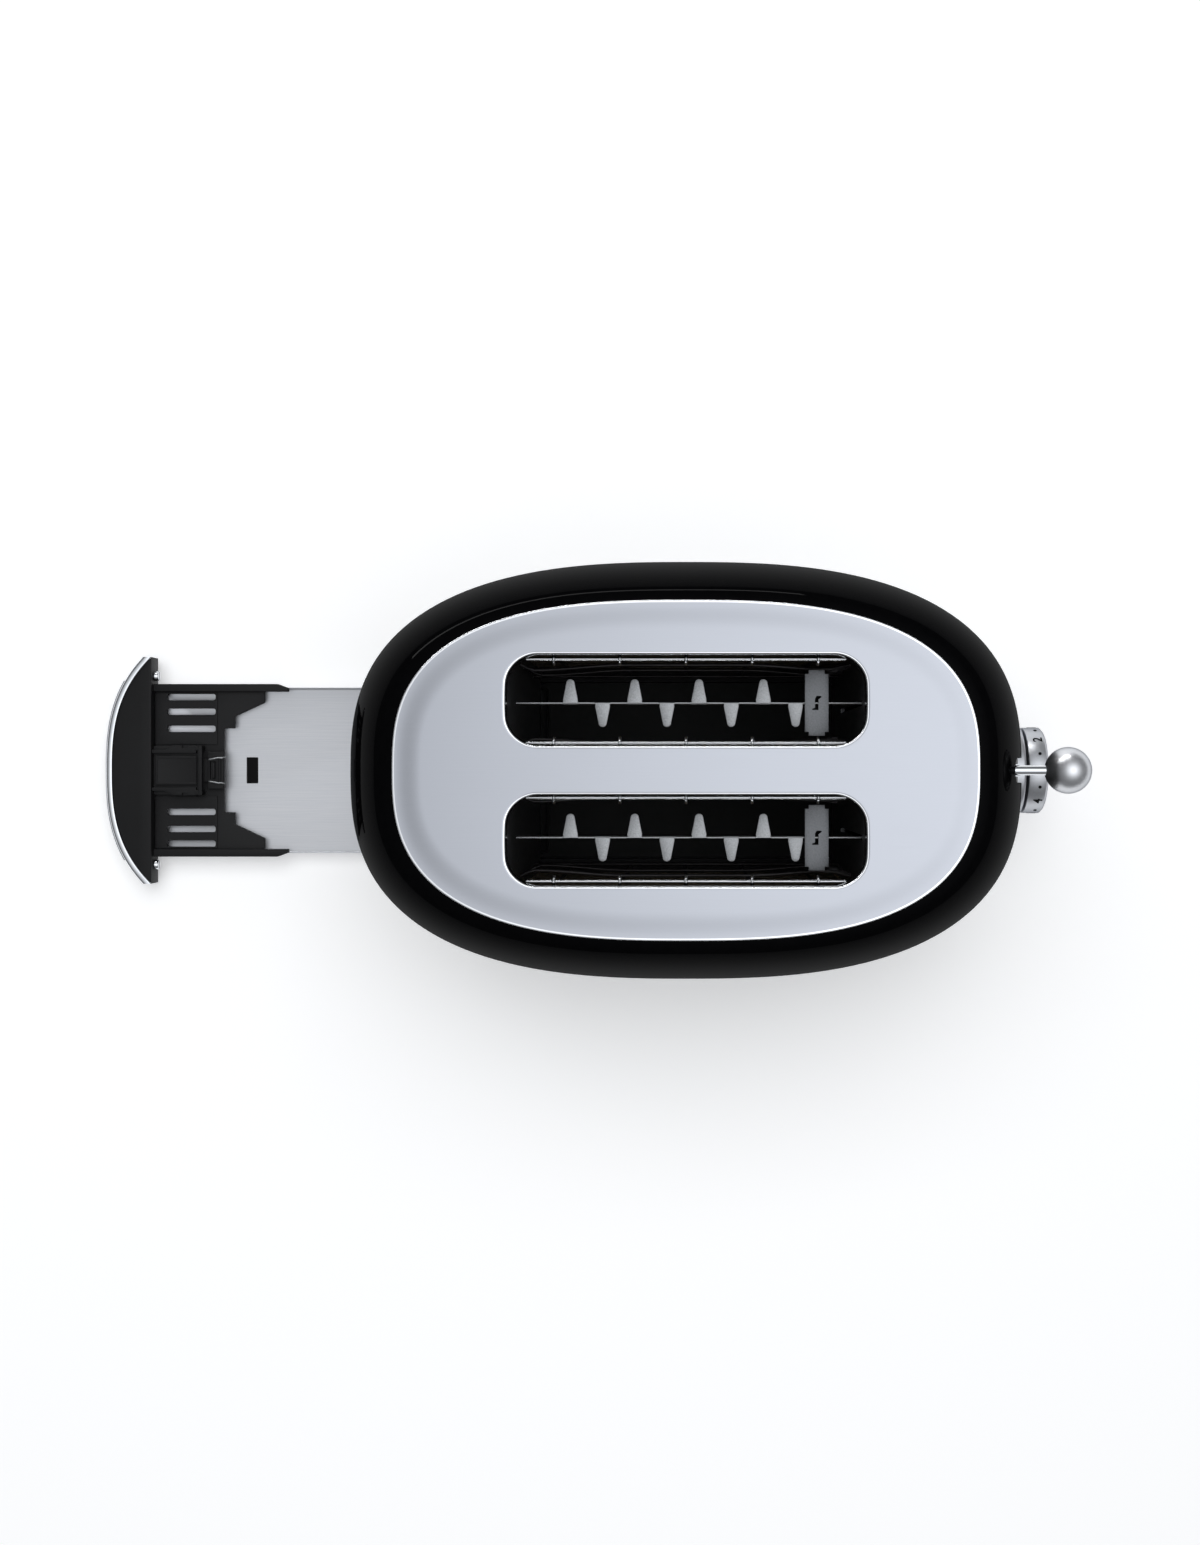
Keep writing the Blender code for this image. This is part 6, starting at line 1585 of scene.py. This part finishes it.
@dataclass
class TrayLatch:
    """The latch on the carrier: a lid between two side clips, a tall bar, a sprung slider and its wires."""

    face: float = -273.3
    floor: float = 9.1
    base: Block = Block((0.0, 23.6), (-12.5, 12.5), (0.0, 2.6), 0.2)
    lid: Block = Block((1.4, 23.4), (-7.5, 7.5), (2.2, 4.5), 0.4)
    lid_recess: Block = Block((2.6, 22.4), (-6.3, 6.3), (4.25, 6.0), 0.2)
    clip: tuple[tuple[float, float], ...] = (
        (0.02, 8.7), (0.02, 10.6), (6.7, 10.6), (7.9, 11.1), (9.7, 12.5), (11.0, 12.8), (22.9, 12.8), (23.6, 12.1),
        (23.6, 8.7),
    )
    clip_floor: float = 2.2
    clip_height: float = 3.1
    clip_edge: float = 0.3
    clip_end: Block = Block((22.6, 24.6), (-13.8, 13.8), (3.2, 6.0), 0.1)
    clip_notch: Block = Block((15.4, 18.6), (11.5, 13.8), (4.1, 7.0))
    bar: Block = Block((23.8, 25.9), (-12.8, 12.8), (4.6, 6.2), 0.3)
    post: Block = Block((22.1, 25.8), (10.1, 12.6), (0.1, 5.5), 0.2)
    channel: Block = Block((1.0, 25.6), (-6.3, 6.3), (-2.0, 2.3))
    slider: Block = Block((27.9, 36.3), (-9.6, 9.6), (0.0, 3.4), 0.4)
    tongue: Block = Block((13.9, 28.5), (-6.0, 6.0), (0.15, 2.0), 0.2)
    thumb_recess: Block = Block((29.1, 32.5), (-4.7, 4.7), (1.8, 5.4), 0.3)
    thumb_bar: Block = Block((30.1, 31.5), (-4.1, 4.1), (1.4, 3.1), 0.25)
    grips: tuple[Block, ...] = (
        Block((33.3, 33.9), (-6.8, 6.8), (2.8, 5.4)), Block((34.6, 35.2), (-6.8, 6.8), (2.8, 5.4)),
    )
    wire_radius: float = 0.36
    wire_line: tuple[tuple[float, float, float], ...] = (
        (28.5, 5.6, 2.6), (28.8, 5.6, 3.5), (29.3, 5.65, 3.85), (33.8, 6.5, 3.9), (35.4, 6.35, 3.6), (36.2, 6.7, 3.1),
        (36.8, 6.8, 2.4),
    )

    def solid(self, block: Block, side: int = 1, onto: Shape | None = None) -> Shape:
        """Makes a block in its place.

        Args:
            block: Its spans.
            side: Minus one to mirror it across the middle line.
            onto: The shape that it joins, or none for a new one.

        Returns:
            The shape with the block.
        """
        low_y, high_y = sorted(side * y for y in block.across)
        low = (self.face + block.along[0], low_y, self.floor + block.up[0])
        high = (self.face + block.along[1], high_y, self.floor + block.up[1])
        return (onto or Shape()).box(low, high, block.edge)

    def build(self) -> None:
        """Makes the lid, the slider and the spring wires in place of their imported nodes."""
        lid = self.solid(self.base).carve(self.solid(self.lid), "UNION").carve(self.solid(self.lid_recess))
        for side in (-1, 1):
            outline = [Vector((self.face + x, side * y, self.floor + self.clip_floor)) for x, y in self.clip]
            lid.carve(Shape().pad(outline, self.clip_height, self.clip_edge, 2), "UNION")
        lid.carve(self.solid(self.clip_end)).carve(self.solid(self.bar), "UNION")
        cuts = self.solid(self.channel)
        for side in (-1, 1):
            lid.carve(self.solid(self.post, side), "UNION")
            self.solid(self.clip_notch, side, cuts)
        lid.carve(cuts).piece("moulded_latch_lid", NYLON, "tray", ["latch_cover"])
        self.build_slider()

    def build_slider(self) -> None:
        """Makes the sliding block with its tongue and grip, and the spring wires behind it."""
        block = self.solid(self.slider).carve(self.solid(self.tongue), "UNION")
        block.carve(self.solid(self.thumb_recess)).carve(self.solid(self.thumb_bar), "UNION")
        cuts = Shape()
        for grip in self.grips:
            self.solid(grip, onto=cuts)
        block.carve(cuts).piece("moulded_latch_slider", NYLON, "latch", ["latch_slider"])
        wires = Shape()
        for side in (-1, 1):
            line = [Vector((self.face + x, side * y, self.floor + z)) for x, y, z in self.wire_line]
            wires.wire(line, self.wire_radius)
        wires.piece("latch_spring_wire", ZINC, "latch", ["latch_spring"], sharp=60)


@dataclass
class HeaterRibbons:
    """The flat heating ribbon wound round each mica card."""

    half_length: float = 72.9
    card_half: float = 0.45
    card_gap: float = 0.08
    corner: float = 0.3
    ribbon: tuple[float, float] = (1.8, 0.12)
    first_z: float = 31.5
    pitch: float = 12.0
    turns: int = 12
    cards: tuple[tuple[str, float], ...] = (
        ("left_outer", -52.0), ("left_inner", -6.5), ("right_inner", 6.5), ("right_outer", 52.0),
    )

    def build(self) -> None:
        """Makes one set of turns for each card."""
        width, gauge = self.ribbon
        for name, y in self.cards:
            shape = Shape()
            for turn in range(self.turns):
                z = self.first_z + turn * self.pitch
                rings = []
                for grow, rise in ((0, 0), (gauge, 0), (gauge, width), (0, width)):
                    size = (2 * (self.half_length + grow), 2 * (self.card_half + self.card_gap + grow))
                    rings.append(rounded_rectangle((0, y), *size, self.corner, z + rise, steps=2))
                shape.skin(rings, closed=True)
            shape.piece(f"heating_ribbon_{name}", RIBBON)


@dataclass
class BoardParts:
    """The components that stand on the control board.

    A relay is the Y and Z of its low corner, those of its high corner, its height off the board and its edge radius.
    A capacitor is Y, Z, radius and height. A resistor is Y and Z, and its profile runs along Z from its middle.
    """

    back: float = 117.4
    front: float = 119.0
    relays: tuple[tuple[float, ...], ...] = ((-31, 18, -17, 34, 12, 0.6), (17, 20, 30, 30, 9, 0.5))
    capacitors: tuple[tuple[float, ...], ...] = ((6, 66, 3.2, 9), (14, 67, 2.5, 8), (-8, 67, 2.5, 8))
    resistors: tuple[tuple[float, float], ...] = ((-24, 44), (-24, 47.5), (-20, 62), (20, 62), (24, 44), (24, 47.5))
    resistor_lift: float = 1.3
    resistor_half: tuple[tuple[float, float], ...] = ((1.5, 0.95), (1.8, 1.2), (2.6, 1.15), (3.2, 0.8), (3.2, 0))
    joint: tuple[tuple[float, float], ...] = ((-1.0, 0), (-0.9, 0.35), (-0.3, 0.7), (0.05, 1.1), (0.05, 0))
    joint_pitch: int = 5

    def build(self) -> None:
        """Makes the relays, the capacitors, the resistors and the solder joints."""
        front = self.front
        relays = Shape()
        for low_y, low_z, high_y, high_z, height, edge in self.relays:
            relays.box((front, low_y, low_z), (front + height, high_y, high_z), edge)
        relays.piece("board_relays", RESIN)
        cans = Shape()
        for y, z, radius, height in self.capacitors:
            profile = [(0, 0), (0, radius - 0.3), (0.3, radius), (height - 0.5, radius), (height, radius - 0.5)]
            cans.turn(profile + [(height, 0)], (front, y, z), "X", sides=28)
        cans.piece("board_capacitors", NYLON)
        resistors = Shape()
        profile = [(-place, radius) for place, radius in self.resistor_half[::-1]] + list(self.resistor_half)
        for y, z in self.resistors:
            centre = (front + self.resistor_lift, y, 0)
            resistors.turn([(z + place, radius) for place, radius in profile], centre, "Z", sides=20)
        resistors.piece("board_resistors", RESIN)
        joints = Shape()
        for y in range(-40, 41, self.joint_pitch):
            for z in (16, 36 + y % 3, 70):
                joints.turn(self.joint, (self.back, y, z), "X", sides=12)
        joints.piece("board_solder_joints", TIN)


@dataclass(frozen=True)
class SoftBox:
    """A soft rectangular lamp: its place and its two sides in metres, its power in watts, its sRGB colour."""

    name: str
    place: tuple[float, float, float]
    size: tuple[float, float]
    power: float
    colour: str


@dataclass
class Studio:
    """Camera, floor, lamps and surroundings, in metres."""

    camera_height: float = 0.855
    camera_sight: float = 20.0
    lens: float = 38.29
    sensor: float = 36.0
    shift: tuple[float, float] = (-0.0557, -0.0014)
    floor_z: float = -0.005
    floor_half: float = 4.0
    floor_diffuse: float = 0.92
    floor_glow: float = 0.29
    sky_axis: tuple[float, float, float] = (0.21, 0.01, 0.98)
    sky_floor: float = 0.17
    sky_crest: float = 1.9
    sky_power: float = 8.0
    sky_colour: str = "#F7F9FC"
    fill: SoftBox = SoftBox("overhead fill", (-0.1, 0.55, 1.55), (1.3, 0.9), 10.5, "#FDFEFF")
    strip: SoftBox = SoftBox("thin strip behind", (-0.42, 1.12, 0.56), (1.5, 0.14), 7, "#FFFFFF")
    aim: tuple[float, float, float] = (0.0, 0.0, 0.1)

    def build(self) -> None:
        """Sets the whole studio up."""
        self.set_camera()
        self.lay_floor()
        self.light_world()
        # The fill lights the surfaces alone, and the strip only draws its line on the gloss.
        self.hang_lamp(self.fill).visible_glossy = False
        self.hang_lamp(self.strip).visible_diffuse = False
        bpy.context.scene.view_settings.view_transform = "Standard"

    def set_camera(self) -> None:
        """Hangs the camera straight above, with +Y up in the picture."""
        data = bpy.data.cameras.new("camera")
        data.lens = self.lens
        data.sensor_width = self.sensor
        data.shift_x, data.shift_y = self.shift
        data.clip_end = self.camera_sight
        camera = bpy.data.objects.new("camera", data)
        camera.location = (0, 0, self.camera_height)
        bpy.context.collection.objects.link(camera)
        bpy.context.scene.camera = camera

    def lay_floor(self) -> None:
        """Lays the pale floor, which glows for camera and mirror rays so that it stays white round the shadow."""
        material = bpy.data.materials.new("white studio paper")
        material.use_nodes = True
        tree = material.node_tree
        tree.nodes.clear()
        rays = add_node(tree, "ShaderNodeLightPath")
        seen = rays.outputs["Is Camera Ray"]
        for name in ("Is Glossy Ray", "Is Transmission Ray"):
            seen = add_node(tree, "ShaderNodeMath", {0: seen, 1: rays.outputs[name]}, operation="MAXIMUM").outputs[0]
        glow = add_node(tree, "ShaderNodeMath", {0: seen, 1: self.floor_glow}, operation="MULTIPLY").outputs[0]
        shine = add_node(tree, "ShaderNodeEmission", {"Strength": glow})
        paper = add_node(tree, "ShaderNodeBsdfDiffuse", {"Color": (*[self.floor_diffuse] * 3, 1)})
        both = add_node(tree, "ShaderNodeAddShader", {0: paper.outputs[0], 1: shine.outputs[0]})
        add_node(tree, "ShaderNodeOutputMaterial", {"Surface": both.outputs[0]})
        half, z = self.floor_half, self.floor_z
        mesh = bpy.data.meshes.new("studio floor")
        mesh.from_pydata([(-half, -half, z), (half, -half, z), (half, half, z), (-half, half, z)], [], [(0, 1, 2, 3)])
        mesh.materials.append(material)
        floor = bpy.data.objects.new("studio_floor", mesh)
        bpy.context.collection.objects.link(floor)

    def light_world(self) -> None:
        """Fills the surroundings with grey-white that brightens softly round one direction overhead."""
        world = bpy.data.worlds.new("studio surroundings")
        world.use_nodes = True
        tree = world.node_tree
        back = tree.nodes["Background"]
        back.inputs["Color"].default_value = linear(self.sky_colour)
        way = add_node(tree, "ShaderNodeTexCoord").outputs["Generated"]
        axis = Vector(self.sky_axis).normalized()
        facing = add_node(tree, "ShaderNodeVectorMath", {0: way, 1: axis}, operation="DOT_PRODUCT").outputs["Value"]
        upper = add_node(tree, "ShaderNodeMath", {0: facing, 1: 0.0}, operation="MAXIMUM").outputs[0]
        crest = add_node(tree, "ShaderNodeMath", {0: upper, 1: self.sky_power}, operation="POWER").outputs[0]
        limits = {0: crest, 3: self.sky_floor, 4: self.sky_floor + self.sky_crest}
        level = add_node(tree, "ShaderNodeMapRange", limits).outputs[0]
        tree.links.new(level, back.inputs["Strength"])
        bpy.context.scene.world = world

    def hang_lamp(self, box: SoftBox) -> bpy.types.Object:
        """Hangs one lamp that faces the toaster.

        Args:
            box: The lamp's sizes.

        Returns:
            The lamp.
        """
        data = bpy.data.lights.new(box.name, "AREA")
        data.shape = "RECTANGLE"
        data.size, data.size_y = box.size
        data.energy = box.power
        data.color = linear(box.colour)[:3]
        lamp = bpy.data.objects.new(box.name, data)
        lamp.location = box.place
        lamp.rotation_euler = (Vector(self.aim) - Vector(box.place)).to_track_quat("-Z", "Y").to_euler()
        bpy.context.collection.objects.link(lamp)
        return lamp


# The imported nodes that show as they are, each with its finish; the dark sheet on the side reflectors and the carriage
# plate is painted shade.
CARRIED_OVER: dict[str, Finish] = {
    "base_pan": NYLON, "base_screw_1": ZINC, "base_screw_2": ZINC, "rear_bulkhead": ALUMINISED,
    "front_bulkhead": ALUMINISED, "side_reflector_left": SHADE_DARK_SHEET, "side_reflector_right": SHADE_DARK_SHEET,
    "heater_card_left_outer": MICA, "heater_card_left_inner": MICA, "heater_card_right_inner": MICA,
    "heater_card_right_outer": MICA, "guide_rod": CHROME, "magnet_bracket": ZINC, "magnet_coil": COPPER,
    "contact_block": RESIN, "contact_leaf": COPPER, "lever_slot_guide": NYLON, "control_board": LAMINATE,
    "potentiometer": ZINC, "cord_gland": RUBBER, "terminal_block": RESIN, "carriage_plate": SHADE_DARK_SHEET,
    "catch_plate": ZINC, "knob_shaft": ZINC,
}


def dress_carried_over() -> None:
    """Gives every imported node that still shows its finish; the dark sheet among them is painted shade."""
    for name, finish in CARRIED_OVER.items():
        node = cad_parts[name]
        for slot in node.material_slots:
            slot.material = finish.build()
        LOG.info("%s: %s", name, finish.name)


def main() -> None:
    """Builds the studio and every sub-assembly in order."""
    logging.basicConfig(level=logging.INFO, format="%(name)s %(message)s")
    Studio().build()
    dress_carried_over()
    form = BodyForm()
    BodyShell(form).build()
    TopPlate(form).build()
    BaseSection(form).build()
    GuideGrids().build()
    LiftRacks().build()
    Lever().build()
    LiftSpring().build()
    BrowningDial(form).build()
    PushButtons(form).build()
    CrumbTray(form).build()
    TrayLatch().build()
    HeaterRibbons().build()
    BoardParts().build()


if __name__ == "__main__":
    main()
